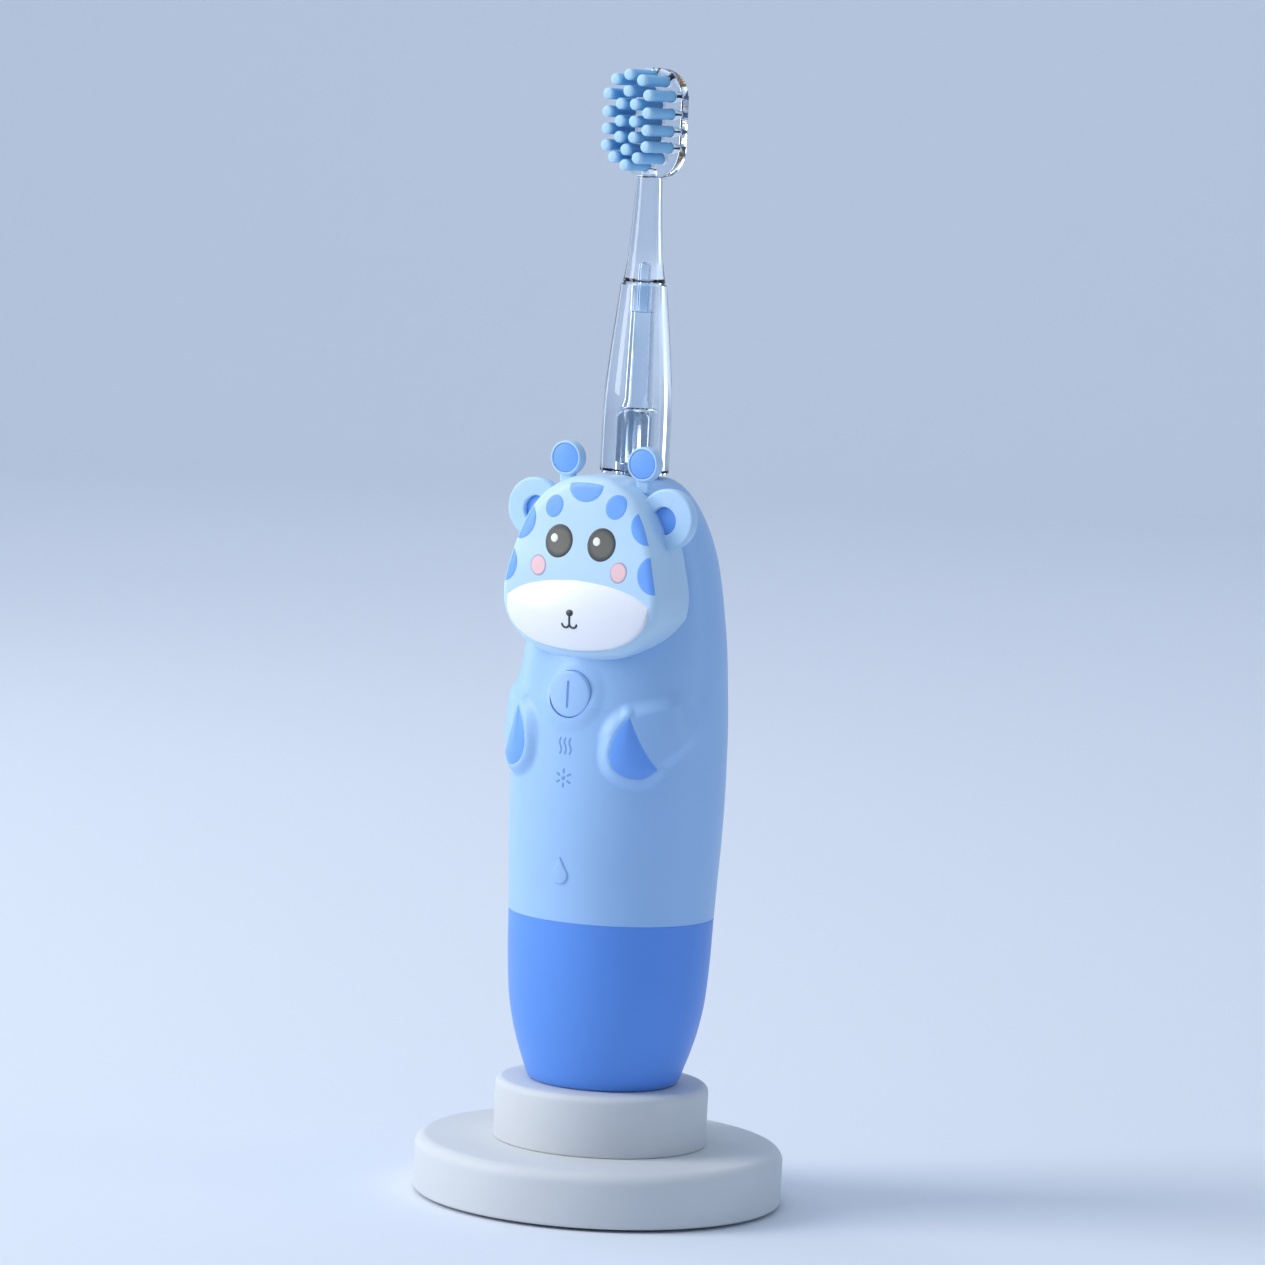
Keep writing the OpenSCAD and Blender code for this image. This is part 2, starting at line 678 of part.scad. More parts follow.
module tufts() color("lightskyblue") tuft_places() translate([0, 0.7, 0]) rotate([90, 0, 0]) {
    cylinder(r = tuft_r, h = tuft_free + 0.7, $fn = 24);
    translate([0, 0, tuft_free + 0.7]) sphere(r = tuft_r, $fn = 24);
}

module tuft_anchors() color("goldenrod") tuft_places() box([-0.7, 0.72, -0.12], [0.7, 0.98, 0.12]);

rubber_pad();
base_plate();
base_screws();
lower_housing();
upper_housing();
charging_post();
ferrite_core();
primary_coil();
charger_board();
board_parts();
power_inlet();
inlet_tongue();
base_cup();
seal_ring();
upper_body();
coil_bobbin();
receive_coil();
coil_leads();
chassis();
battery();
battery_tabs();
control_board();
board_screws();
button_switch();
motor_can();
motor_end_cap();
stator_coils();
front_bearing();
rear_bearing();
torsion_bar();
neck_seal();
button_gasket();
wave_indicator();
star_indicator();
droplet_badge();
hooves();
face_shell();
muzzle();
mouth();
eyes();
eye_glints();
cheeks();
spots();
ears();
ear_inserts();
horns();
horn_pads();
power_button();
drive_shaft();
rotor_magnet();
brush_neck();
brush_stem();
tuft_anchors();
tufts();
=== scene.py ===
from math import cos, hypot, pi, radians, sin, sqrt

import bpy
from mathutils import Matrix, Vector


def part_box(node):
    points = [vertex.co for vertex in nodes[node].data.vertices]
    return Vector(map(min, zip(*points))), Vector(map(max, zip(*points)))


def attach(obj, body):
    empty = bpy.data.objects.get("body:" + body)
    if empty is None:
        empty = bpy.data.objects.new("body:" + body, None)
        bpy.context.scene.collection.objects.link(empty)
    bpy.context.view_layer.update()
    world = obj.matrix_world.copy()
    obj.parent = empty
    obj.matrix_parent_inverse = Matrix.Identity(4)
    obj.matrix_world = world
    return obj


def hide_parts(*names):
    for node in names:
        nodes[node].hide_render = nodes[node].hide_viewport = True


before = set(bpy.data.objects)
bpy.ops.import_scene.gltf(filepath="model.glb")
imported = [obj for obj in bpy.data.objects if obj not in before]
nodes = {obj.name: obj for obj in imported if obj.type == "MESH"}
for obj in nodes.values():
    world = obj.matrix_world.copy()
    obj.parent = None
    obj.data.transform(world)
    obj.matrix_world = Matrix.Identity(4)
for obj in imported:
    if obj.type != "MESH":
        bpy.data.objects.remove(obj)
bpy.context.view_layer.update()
MM = 0.001
bpy.ops.object.select_all(action="DESELECT")


# The studio: a pale round room with one tall soft lamp to the left of the camera, a soft one above,
# a thin strip on each side, one on the wall, and a camera level with the brush head.

def look_at_object(azimuth, distance, height, pitch, yaw, roll, lens):
    """A camera that stands at an azimuth round the object, counted from the front towards its left."""
    turn = radians(azimuth)
    heading = radians(azimuth + yaw)
    fall = radians(pitch)
    lean = radians(roll)
    place = Vector((distance * sin(turn), -distance * cos(turn), height))
    ahead = Vector((-sin(heading) * cos(fall), cos(heading) * cos(fall), -sin(fall)))
    right = Vector((cos(heading), sin(heading), 0))
    up = right.cross(ahead)
    image_right = right * cos(lean) + up * sin(lean)
    image_up = up * cos(lean) - right * sin(lean)
    camera = bpy.data.objects.new("camera", bpy.data.cameras.new("camera"))
    bpy.context.scene.collection.objects.link(camera)
    axes = Matrix((image_right, image_up, -ahead)).transposed().to_4x4()
    camera.matrix_world = Matrix.Translation(place) @ axes
    camera.data.sensor_width = 36
    camera.data.lens = lens
    camera.data.clip_end = 50
    return camera


bpy.context.scene.camera = look_at_object(azimuth=30, distance=0.95, height=0.19, pitch=5.5,
                                          yaw=-0.07, roll=3.01, lens=157.7)
bpy.context.scene.view_settings.view_transform = "Standard"


def soft_lamp(name, azimuth, distance, height, width, tall, power, colour, aim=(0, 0, 0.1)):
    """A rectangular soft box that stands round the object and faces one place."""
    light = bpy.data.lights.new(name, "AREA")
    light.shape = "RECTANGLE"
    light.size = width
    light.size_y = tall
    light.energy = power
    light.color = colour
    lamp = bpy.data.objects.new(name, light)
    bpy.context.scene.collection.objects.link(lamp)
    turn = radians(azimuth)
    place = Vector((distance * sin(turn), -distance * cos(turn), height))
    ahead = Vector(aim) - place
    lamp.matrix_world = Matrix.Translation(place) @ ahead.to_track_quat("-Z", "Y").to_matrix().to_4x4()


SKY = (0.93, 0.96, 1.0)
soft_lamp("key_lamp", azimuth=-48, distance=0.95, height=0.6, width=0.45, tall=0.95, power=8.2,
          colour=(1.0, 0.99, 0.97))
soft_lamp("top_lamp", azimuth=-60, distance=0.3, height=1.3, width=0.8, tall=0.8, power=4, colour=SKY)
soft_lamp("right_strip", azimuth=112, distance=0.9, height=0.35, width=0.1, tall=0.7, power=0.6,
          colour=SKY)
soft_lamp("left_strip", azimuth=-108, distance=0.9, height=0.3, width=0.14, tall=0.8, power=0.9,
          colour=SKY)
soft_lamp("wall_lamp", azimuth=210, distance=0.8, height=1.5, width=1.2, tall=0.6, power=8, colour=SKY,
          aim=(-1.3, 2.2, 0.5))

world = bpy.data.worlds.new("studio_air")
world.use_nodes = True
world.node_tree.nodes["Background"].inputs["Color"].default_value = (0.68, 0.82, 1.0, 1)
world.node_tree.nodes["Background"].inputs["Strength"].default_value = 0.48
bpy.context.scene.world = world


class Signal:
    """A number, colour or vector in a material. Ordinary operators on it add the Math nodes."""

    def __init__(self, finish, socket):
        self.finish = finish
        self.socket = socket

    def maths(self, operation, first, second):
        return self.finish.add("ShaderNodeMath", {"operation": operation}, {0: first, 1: second})

    def __add__(self, other):
        return self.maths("ADD", self, other)

    def __sub__(self, other):
        return self.maths("SUBTRACT", self, other)

    def __mul__(self, other):
        return self.maths("MULTIPLY", self, other)

    def __pow__(self, other):
        return self.maths("POWER", self, other)

    def __radd__(self, other):
        return self.maths("ADD", other, self)

    def __rsub__(self, other):
        return self.maths("SUBTRACT", other, self)

    def __rmul__(self, other):
        return self.maths("MULTIPLY", other, self)

    def wave(self):
        return self.maths("SINE", self, 0)

    def over(self, low, high):
        """Rises smoothly from 0 to 1 as this goes from low to high."""
        return self.finish.add("ShaderNodeMapRange", {"interpolation_type": "SMOOTHSTEP"},
                               {"Value": self, "From Min": low, "From Max": high}, "Result")


class Finish:
    """One material under way: its constants are set straight on the shader, the rest is linked."""

    def __init__(self, name, colour, roughness, **constants):
        self.material = bpy.data.materials.new(name)
        self.material.use_nodes = True
        self.tree = self.material.node_tree
        self.shader = self.tree.nodes["Principled BSDF"]
        self.colour = colour
        self.roughness = roughness
        self.set("Base Color", (*colour, 1))
        self.set("Roughness", roughness)
        for socket, value in constants.items():
            self.set(socket.replace("_", " "), value)
        self.place = self.add("ShaderNodeTexCoord", {}, {}, "Object")

    def set(self, socket, value):
        if isinstance(value, Signal):
            self.tree.links.new(value.socket, self.shader.inputs[socket])
        else:
            self.shader.inputs[socket].default_value = value

    def add(self, kind, settings, inputs, output=0):
        """Adds a node: its settings first, then the values or links of its sockets."""
        node = self.tree.nodes.new(kind)
        for key, value in settings.items():
            setattr(node, key, value)
        for key, value in inputs.items():
            if isinstance(value, Signal):
                self.tree.links.new(value.socket, node.inputs[key])
            else:
                node.inputs[key].default_value = value
        return Signal(self, node.outputs[output])

    def noise(self, scale, detail=2.0, stretch=(1, 1, 1)):
        """Noise with about this many features to the metre, 0 to 1."""
        where = self.add("ShaderNodeMapping", {}, {"Vector": self.place, "Scale": stretch})
        return self.add("ShaderNodeTexNoise", {}, {"Vector": where, "Scale": scale, "Detail": detail}, "Fac")

    def axis(self, name):
        """The distance along one axis of the frame, in metres."""
        return self.add("ShaderNodeSeparateXYZ", {}, {0: self.place}, name)

    def off_pair(self, x, z, squeeze=1.0):
        """The distance from the nearer of two places, x millimetres left and right of the middle."""
        across = self.add("ShaderNodeMath", {"operation": "ABSOLUTE"}, {0: self.axis("X")}) - x * MM
        return ((across * squeeze) ** 2 + (self.axis("Z") - z * MM) ** 2) ** 0.5

    def mix(self, amount, low, high):
        """A colour between two colours."""
        inputs = {0: amount, 6: low if isinstance(low, Signal) else (*low, 1),
                  7: high if isinstance(high, Signal) else (*high, 1)}
        return self.add("ShaderNodeMix", {"data_type": "RGBA"}, inputs, 2)

    def tone(self, amount, darker):
        """Lets the colour fall to a share of itself where amount is 1."""
        deep = tuple(part * darker for part in self.colour)
        self.set("Base Color", self.mix(amount, self.colour, deep))

    def relief(self, height, depth, strength=1.0):
        """Raises and sinks the surface by a height signal, to this depth in metres."""
        bump = self.add("ShaderNodeBump", {}, {"Height": height, "Distance": depth, "Strength": strength})
        self.set("Normal", bump)


def linear(red, green, blue):
    """A display colour, 0 to 255, as the linear colour that a shader takes."""
    return tuple((part / 255 / 12.92) if part < 11 else ((part / 255 + 0.055) / 1.055) ** 2.4
                 for part in (red, green, blue))


def painted_wall(name, colour):
    """Matt paint with the faint unevenness of a roller."""
    wall = Finish(name, colour, 0.85)
    wall.tone(wall.noise(3), 0.985)
    wall.relief(wall.noise(220, 3), 0.0004, 0.15)
    return wall.material


def clean_up(piece, smooth_angle):
    """Closes the seams and poles of a piece in edit mode, turns its faces out and smooths it."""
    bpy.ops.object.select_all(action="DESELECT")
    piece.select_set(True)
    bpy.context.view_layer.objects.active = piece
    bpy.ops.object.mode_set(mode="EDIT")
    bpy.ops.mesh.select_all(action="SELECT")
    bpy.ops.mesh.remove_doubles(threshold=2e-6)
    bpy.ops.mesh.normals_make_consistent(inside=False)
    bpy.ops.object.mode_set(mode="OBJECT")
    bpy.ops.object.shade_smooth_by_angle(angle=radians(smooth_angle))
    piece.select_set(False)


def turned(name, outline, steps=128, smooth_angle=35, closed=False):
    """A piece turned on a lathe: its outline, (radius, height) in millimetres, is drawn as a
    chain of extruded points and spun round the Z axis."""
    bpy.ops.mesh.primitive_plane_add(size=MM)
    piece = bpy.context.object
    piece.name = piece.data.name = name
    bpy.ops.object.mode_set(mode="EDIT")
    bpy.ops.mesh.merge(type="CENTER")
    if closed:
        outline = outline + outline[:1]
    at = Vector((0, 0, 0))
    for count, (radius, height) in enumerate(outline):
        there = Vector((radius * MM, 0, height * MM))
        move = {"value": there - at}
        if count == 0:
            bpy.ops.transform.translate(**move)
        else:
            bpy.ops.mesh.extrude_region_move(TRANSFORM_OT_translate=move)
        at = there
    bpy.ops.mesh.select_all(action="SELECT")
    bpy.ops.mesh.remove_doubles(threshold=1e-7)
    bpy.ops.mesh.spin(steps=steps, angle=2 * pi, center=(0, 0, 0), axis=(0, 0, 1))
    bpy.ops.object.mode_set(mode="OBJECT")
    clean_up(piece, smooth_angle)
    return piece


def arc(middle_r, middle_z, radius, start, end, steps=8):
    """Points on an arc in an outline, from one angle to another in degrees."""
    turns = [radians(start + (end - start) * k / steps) for k in range(steps + 1)]
    return [(middle_r + radius * cos(t), middle_z + radius * sin(t)) for t in turns]


def hand_in(piece, material, body, slot, *replaced):
    """Gives a finished piece its material, its body and the CAD nodes it stands for. Its slot is not used.
    """
    piece.data.materials.clear()
    piece.data.materials.append(material)
    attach(piece, body)
    if replaced:
        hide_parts(*replaced)


room_r = 2600
room_tall = 2600
cove_r = 900
room = turned("studio_room", [(0.001, 0), (400, 0), (room_r - cove_r, 0)]
              + arc(room_r - cove_r, cove_r, cove_r, -90, 0, 24) + [(room_r, room_tall)], steps=96)
room.data.flip_normals()
room.data.materials.append(painted_wall("room_paint", linear(228, 234, 244)))


# The charger's lower tier: a round shell of matt pale plastic, 2 mm thick, with a soft rim and a slot at
# the back for the inlet. It is moulded, and screwed to the base plate from below.

def corners(node):
    """The lowest and the highest corner of a CAD node, in millimetres."""
    low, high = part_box(node)
    return low / MM, high / MM


def moulded(name, colour, roughness, grain=0.012):
    """Matt moulded plastic: fine spark-eroded grain, faint flow marks and a slightly uneven gloss."""
    plastic = Finish(name, colour, roughness, IOR=1.47)
    plastic.tone(plastic.noise(55, 3).over(0.35, 0.8), 0.965)
    plastic.set("Roughness", plastic.noise(160, 3) * 0.10 + (roughness - 0.05))
    plastic.relief(plastic.noise(4200, 2) + plastic.noise(900, 2) * 0.6, grain * MM, 0.5)
    return plastic.material


def combine(piece, other, operation="DIFFERENCE", smooth_angle=30):
    """Cuts one piece with another, or joins it on where they run into each other. The other is used up."""
    both = piece.modifiers.new("both", "BOOLEAN")
    both.operation = operation
    both.solver = "EXACT"
    both.object = other
    bpy.ops.object.select_all(action="DESELECT")
    bpy.context.view_layer.objects.active = piece
    piece.select_set(True)
    bpy.ops.object.modifier_apply(modifier="both")
    bpy.data.objects.remove(other)
    bpy.ops.object.shade_smooth_by_angle(angle=radians(smooth_angle))
    piece.select_set(False)


def rounded_bar(name, low, high, radius, axis, steps=8):
    """A straight bar between two corners whose long edges, along one axis, are rounded."""
    size = high - low
    bpy.ops.mesh.primitive_cube_add(size=1, location=(low + high) / 2 * MM, scale=size * MM)
    bar = bpy.context.object
    bar.name = bar.data.name = name
    bpy.ops.object.transform_apply(location=True, rotation=True, scale=True)
    bpy.ops.object.mode_set(mode="EDIT")
    bpy.ops.mesh.select_all(action="DESELECT")
    bpy.ops.object.mode_set(mode="OBJECT")
    for edge in bar.data.edges:
        first, second = (bar.data.vertices[corner].co for corner in edge.vertices)
        edge.select = abs((second - first).normalized()[axis]) > 0.9
    bpy.ops.object.mode_set(mode="EDIT")
    bpy.ops.mesh.select_mode(type="EDGE")
    bpy.ops.mesh.bevel(offset=radius * MM, segments=steps, affect="EDGES")
    bpy.ops.mesh.select_mode(type="VERT")
    bpy.ops.object.mode_set(mode="OBJECT")
    bar.select_set(False)
    return bar


stand_plastic = moulded("stand_plastic", linear(216, 219, 222), 0.55, grain=0.02)
tier_low, tier_high = corners("lower_housing")
shell = 2
rim = 2.2
foot_round = 0.6
throat = 14.5
lower_housing = turned("lower_housing_shell",
                       [(tier_high.x - shell, tier_low.z)]
                       + arc(tier_high.x - foot_round, tier_low.z + foot_round, foot_round, -90, 0, 4)
                       + arc(tier_high.x - rim, tier_high.z - rim, rim, 0, 90, 12)
                       + [(throat, tier_high.z), (throat, tier_high.z - shell)]
                       + arc(tier_high.x - shell - 1, tier_high.z - shell - 1, 1, 90, 0, 4),
                       steps=160, closed=True)
slot_low, slot_high = corners("power_inlet")
slot_round = 1.84
gap = Vector((0.25, 0, 0.25))
past = Vector((0, 4, 0))
slot_cutter = rounded_bar("slot_cutter", slot_low - gap - past, slot_high + gap + past, slot_round, axis=1)
combine(lower_housing, slot_cutter)
hand_in(lower_housing, stand_plastic, "stand", "stand_plastic", "lower_housing")


# The upper tier, plugged into the lower one: its foot is slightly rounded, which leaves the thin dark
# line between the tiers. The post comes through the hole in its top.
tier_low, tier_high = corners("upper_housing")
post_low, post_high = corners("charging_post")
seam_z = corners("lower_housing")[1].z
seam_gap = 0.02
post_r = 4.6
rim = 1.3
foot_round = 0.3
hole_round = 0.45
plug_r = throat - 0.1
upper_housing = turned("upper_housing_shell",
                       [(throat - shell, tier_low.z), (plug_r, tier_low.z), (plug_r, seam_z + seam_gap),
                        (tier_high.x - 0.35, seam_z + seam_gap)]
                       + arc(tier_high.x - foot_round, seam_z + seam_gap + foot_round, foot_round, -90, 0, 4)
                       + arc(tier_high.x - rim, tier_high.z - rim, rim, 0, 90, 10)
                       + arc(post_r + 0.5, tier_high.z - hole_round, hole_round, 90, 180, 4)
                       + [(post_r + 0.05, tier_high.z - shell), (throat - shell, tier_high.z - shell)],
                       steps=160, closed=True)
hand_in(upper_housing, stand_plastic, "stand", "stand_plastic", "upper_housing")


# The charging post: a hollow round-nosed post of the same plastic, which holds the ferrite core. Its
# thin foot lies under the top of the upper tier.
bore = 2.7
nose = 1.4
flange_r = 12.2
flange_t = 1
flange_z = tier_high.z - shell - 0.1
charging_post = turned("charging_post_shell",
                       [(bore, post_low.z), (post_r, post_low.z), (post_r, flange_z - flange_t),
                        (flange_r, flange_z - flange_t), (flange_r, flange_z), (post_r, flange_z)]
                       + arc(post_r - nose, post_high.z - nose, nose, 0, 90, 8)
                       + [(0, post_high.z), (0, post_high.z - nose), (bore, post_high.z - nose)],
                       steps=96, closed=True)
hand_in(charging_post, stand_plastic, "stand", "stand_plastic", "charging_post")


# The anti-slip pad: a grey rubber disc with three round treads. It is moulded, and stuck under the
# charger over the base plate's screws.
pad_low, pad_high = corners("rubber_pad")
pad_round = 0.4
tread = 0.35
tread_z = pad_low.z + tread
pad_outline = [(pad_high.x, pad_high.z), (0, pad_high.z), (0, tread_z)]
for middle in (8, 16, 24):
    pad_outline += [(middle - 3, tread_z), (middle - 2.8, pad_low.z), (middle + 2.8, pad_low.z),
                    (middle + 3, tread_z)]
pad_outline += arc(pad_high.x - pad_round, tread_z + pad_round, pad_round, -90, 0, 4)
rubber_pad = turned("rubber_pad_disc", pad_outline)
rubber = Finish("pad_rubber", linear(92, 98, 108), 0.85)
rubber.tone(rubber.noise(90, 3), 0.85)
rubber.relief(rubber.noise(1500, 3), 0.05 * MM, 0.6)
hand_in(rubber_pad, rubber.material, "stand", "pad_rubber", "rubber_pad")


# The power inlet: a folded steel shell with round ends, open at the back, round a black tongue that
# has a row of gilt contacts on it. Both are soldered to the charger's board.
inlet_round = 1.55
inlet_wall = 0.33
inlet_deep = 7
inlet = rounded_bar("power_inlet_shell", slot_low, slot_high, inlet_round, axis=1)
bpy.context.view_layer.objects.active = inlet
inlet.select_set(True)
for face in inlet.data.polygons:
    face.select = face.normal.y > 0.9
bpy.ops.object.mode_set(mode="EDIT")
bpy.ops.mesh.select_mode(type="FACE")
bpy.ops.mesh.inset(thickness=inlet_wall * MM)
bpy.ops.mesh.extrude_region_move(TRANSFORM_OT_translate={"value": (0, -inlet_deep * MM, 0)})
bpy.ops.mesh.select_mode(type="VERT")
bpy.ops.object.mode_set(mode="OBJECT")
clean_up(inlet, 30)
steel = Finish("inlet_steel", linear(206, 208, 210), 0.3, Metallic=1.0)
steel.set("Roughness", steel.noise(900, 3, (1, 0.06, 1)) * 0.25 + 0.2)
steel.relief(steel.noise(1800, 2, (1, 0.05, 1)), 0.01 * MM, 0.5)
hand_in(inlet, steel.material, "stand", "inlet_steel", "power_inlet")

tongue_low, tongue_high = corners("inlet_tongue")
tongue = rounded_bar("inlet_tongue_blade", tongue_low, tongue_high, 0.2, axis=1, steps=3)
contact_pitch = 0.8
contact_start = tongue_high.y - 5
blade = Finish("component_black", linear(34, 36, 40), 0.5)
stripes = ((blade.axis("X") * (2 * pi / (contact_pitch * MM))).wave()).over(0.1, 0.3)
near_mouth = blade.axis("Y").over(contact_start * MM, (contact_start + 0.2) * MM)
blade.set("Base Color", blade.mix(stripes * near_mouth, linear(34, 36, 40), linear(214, 178, 96)))
blade.set("Metallic", stripes * near_mouth)
blade.relief(stripes, 0.03 * MM, 0.6)
clean_up(tongue, 30)
hand_in(tongue, blade.material, "stand", "component_black", "inlet_tongue")


# Inside the charger: the base plate of the housing's own plastic with its three steel screws, the
# ferrite core pressed into the post, its copper coil, and the green board on its stand-offs.

def carry(material, *names):
    """Gives CAD nodes that keep their own shape a finished material."""
    for name in names:
        nodes[name].data.materials.clear()
        nodes[name].data.materials.append(material)


def drawn_steel(name, colour, roughness, stretch):
    """Turned or drawn metal: fine marks along one direction and uneven shine."""
    metal = Finish(name, colour, roughness, Metallic=1.0)
    marks = metal.noise(1600, 3, stretch)
    metal.tone(marks.over(0.3, 0.8), 0.85)
    metal.set("Roughness", marks * 0.16 + (roughness - 0.08))
    metal.relief(marks, 0.008 * MM, 0.5)
    return metal.material


def wound_wire(name, axis, pitch):
    """Enamelled copper wire laid turn by turn along one axis, with painted shade between the turns and a
    painted highlight on each turn.
    """
    wire = Finish(name, linear(184, 104, 58), 0.32, Metallic=1.0)
    turn = (wire.axis(axis) * (2 * pi / (pitch * MM))).wave() * 0.5 + 0.5
    # Painted shade in the grooves between the turns and a painted highlight on their crowns, on the same
    # wave as the relief.
    wire.set("Base Color", wire.mix(turn, linear(96, 44, 22), linear(206, 122, 70)))
    wire.set("Roughness", wire.noise(400, 2) * 0.15 + 0.25)
    wire.relief(turn, 0.12 * MM, 0.9)
    return wire.material


def circuit_board(name):
    """Green solder mask over copper tracks, which show as slightly raised lighter lines."""
    board = Finish(name, linear(28, 92, 66), 0.35, Coat_Weight=0.3, Coat_Roughness=0.15)
    lines = ((board.axis("X") * (2 * pi / (1.6 * MM)) + board.noise(120, 0) * 14).wave()).over(0.55, 0.75)
    board.set("Base Color", board.mix(lines, linear(20, 76, 54), linear(52, 128, 88)))
    board.set("Roughness", board.noise(300, 2) * 0.1 + 0.3)
    board.relief(lines, 0.03 * MM, 0.6)
    return board.material


def grained(name, colour, roughness, tone, gloss, grain, **constants):
    """One solid colour whose shade, gloss and surface each follow a noise. tone is (noise, the darkest
    share), gloss is (noise, spread, least roughness) and grain is (noise, depth in mm, strength)."""
    finish = Finish(name, colour, roughness, **constants)
    finish.tone(finish.noise(*tone[0]), tone[1])
    finish.set("Roughness", finish.noise(*gloss[0]) * gloss[1] + gloss[2])
    finish.relief(finish.noise(*grain[0]), grain[1] * MM, grain[2])
    return finish.material


carry(stand_plastic, "base_plate")
carry(drawn_steel("screw_steel", linear(190, 193, 198), 0.3, (1, 1, 0.1)), "base_screws", "board_screws")
carry(grained("ferrite", linear(58, 60, 64), 0.6, tone=((1300, 4), 0.6), gloss=((800, 2), 0.25, 0.45),
              grain=((2600, 4), 0.04, 0.7)), "ferrite_core")
carry(wound_wire("copper_wire", "Z", 0.45), "primary_coil", "receive_coil", "stator_coils")
carry(circuit_board("circuit_board"), "charger_board", "control_board")
carry(grained("epoxy_black", linear(38, 40, 44), 0.55, tone=((700, 3), 0.7), gloss=((500, 2), 0.2, 0.45),
              grain=((3000, 2), 0.02, 0.5)), "board_parts", "button_switch")


# The base cup: the dark blue lower shell of the handle. Its blind socket drops over the post, and its
# collar plugs into the upper body with a groove for the seal ring.

# The handle's outline: (share of its widest radius, height above the stand)
HANDLE_SIDE = [(0.70, 0), (0.757, 3), (0.812, 6), (0.864, 9.5), (0.913, 14.5), (0.942, 21.5), (0.957, 29.4),
               (0.973, 36), (0.99, 42.5), (1, 49.5), (1, 56), (0.993, 63), (0.973, 69.5), (0.945, 76.5),
               (0.9, 83), (0.867, 87), (0.83, 90.5), (0.785, 93.5), (0.724, 96.5), (0.66, 98.9),
               (0.57, 101.5), (0.46, 103.7), (0.35, 104.9)]


def smooth_line(points, at):
    """The value at one place on a smooth line through points of (value, place)."""
    at = min(max(at, points[0][1]), points[-1][1])
    k = max(i for i in range(len(points) - 1) if points[i][1] <= at)
    slopes = []
    for i in (k, k + 1):
        before, after = points[max(i - 1, 0)], points[min(i + 1, len(points) - 1)]
        slopes.append((after[0] - before[0]) / (after[1] - before[1]))
    (v0, p0), (v1, p1) = points[k], points[k + 1]
    span = p1 - p0
    t = (at - p0) / span
    return ((2 * t ** 3 - 3 * t * t + 1) * v0 + (t ** 3 - 2 * t * t + t) * span * slopes[0]
            + (3 * t * t - 2 * t ** 3) * v1 + (t ** 3 - t * t) * span * slopes[1])


stand_top = tier_high.z
cup_high = corners("base_cup")[1]
body_low, body_high = corners("upper_body")
cup_top = body_low.z
handle_r = body_high.y


def handle_radius(z):
    """The handle's radius at a height above the table, before anything stands on it."""
    return handle_r * smooth_line(HANDLE_SIDE, z - stand_top)


def steps_between(low, high, count):
    """Evenly spaced values from low to high, both included."""
    return [low + (high - low) * k / count for k in range(count + 1)]


edge_break = 0.08
chamfer = 0.4
foot_round = 1
socket_r = post_r + 0.5
socket_top = post_high.z + 1
socket_wall = 1.4
collar_r = handle_radius(cup_top) - 2
groove_r = 14.5
groove_low, groove_high = cup_top + 2.6, cup_top + 4.2
mouth_r = 13.6
cup_wall = 2.3
foot_r = handle_radius(stand_top) + 0.2
socket = [(0, socket_top), (socket_r, socket_top), (socket_r, stand_top + chamfer),
          (socket_r + chamfer, stand_top)]
outside = arc(foot_r - foot_round, stand_top + foot_round, foot_round, -90, -20, 6)
outside += [(handle_radius(z), z) for z in steps_between(stand_top + foot_round, cup_top - edge_break, 44)]
collar = [(handle_radius(cup_top) - edge_break, cup_top), (collar_r, cup_top), (collar_r, groove_low),
          (groove_r, groove_low), (groove_r, groove_high), (collar_r, groove_high),
          (collar_r, cup_high.z - 0.5), (collar_r - 0.5, cup_high.z), (mouth_r, cup_high.z),
          (mouth_r, cup_top - 5.5)]
inside = [(handle_radius(z) - cup_wall, z) for z in steps_between(cup_top - 6, stand_top + 2.6, 24)]
inside += [(10.5, stand_top + 2), (socket_r + socket_wall, stand_top + 2),
           (socket_r + socket_wall, socket_top + socket_wall), (0, socket_top + socket_wall)]
base_cup = turned("base_cup_shell", socket + outside + collar + inside, steps=160)
cup_blue = moulded("cup_blue", linear(95, 153, 241), 0.4)
hand_in(base_cup, cup_blue, "handle", "cup_blue", "base_cup")


# The upper body: one light blue shell from the cup to the neck, with a soft arm on each side, a low
# swelling round the button and a flatter front under the chin. A round hole takes the button.

def skin(name, around, along, place, smooth_angle=35):
    """A sheet of vertices: a grid with one column for each value of around and one row for each of
    along, whose vertices are then moved to their places. Rows and columns that meet are merged."""
    columns, rows = len(around) - 1, len(along) - 1
    bpy.ops.mesh.primitive_grid_add(x_subdivisions=columns, y_subdivisions=rows, size=1)
    piece = bpy.context.object
    piece.name = piece.data.name = name
    for vertex in piece.data.vertices:
        column = round((vertex.co.x + 0.5) * columns)
        row = round((vertex.co.y + 0.5) * rows)
        vertex.co = place(around[column], along[row]) * MM
    clean_up(piece, smooth_angle)
    return piece


def ease(value, low, high):
    """Rises smoothly from 0 to 1 while value goes from low to high."""
    t = min(max((value - low) / (high - low), 0), 1)
    return t * t * (3 - 2 * t)


def smooth_path(points, steps=4):
    """An open smooth curve through points, with this many steps between each two."""
    path = []
    for i in range(len(points) - 1):
        a, b = Vector(points[max(i - 1, 0)]), Vector(points[i])
        c, d = Vector(points[i + 1]), Vector(points[min(i + 2, len(points) - 1)])
        for k in range(steps):
            t = k / steps
            path.append(0.5 * (2 * b + (c - a) * t + (2 * a - 5 * b + 4 * c - d) * t * t
                               + (3 * b - a - 3 * c + d) * t ** 3))
    return path + [Vector(points[-1])]


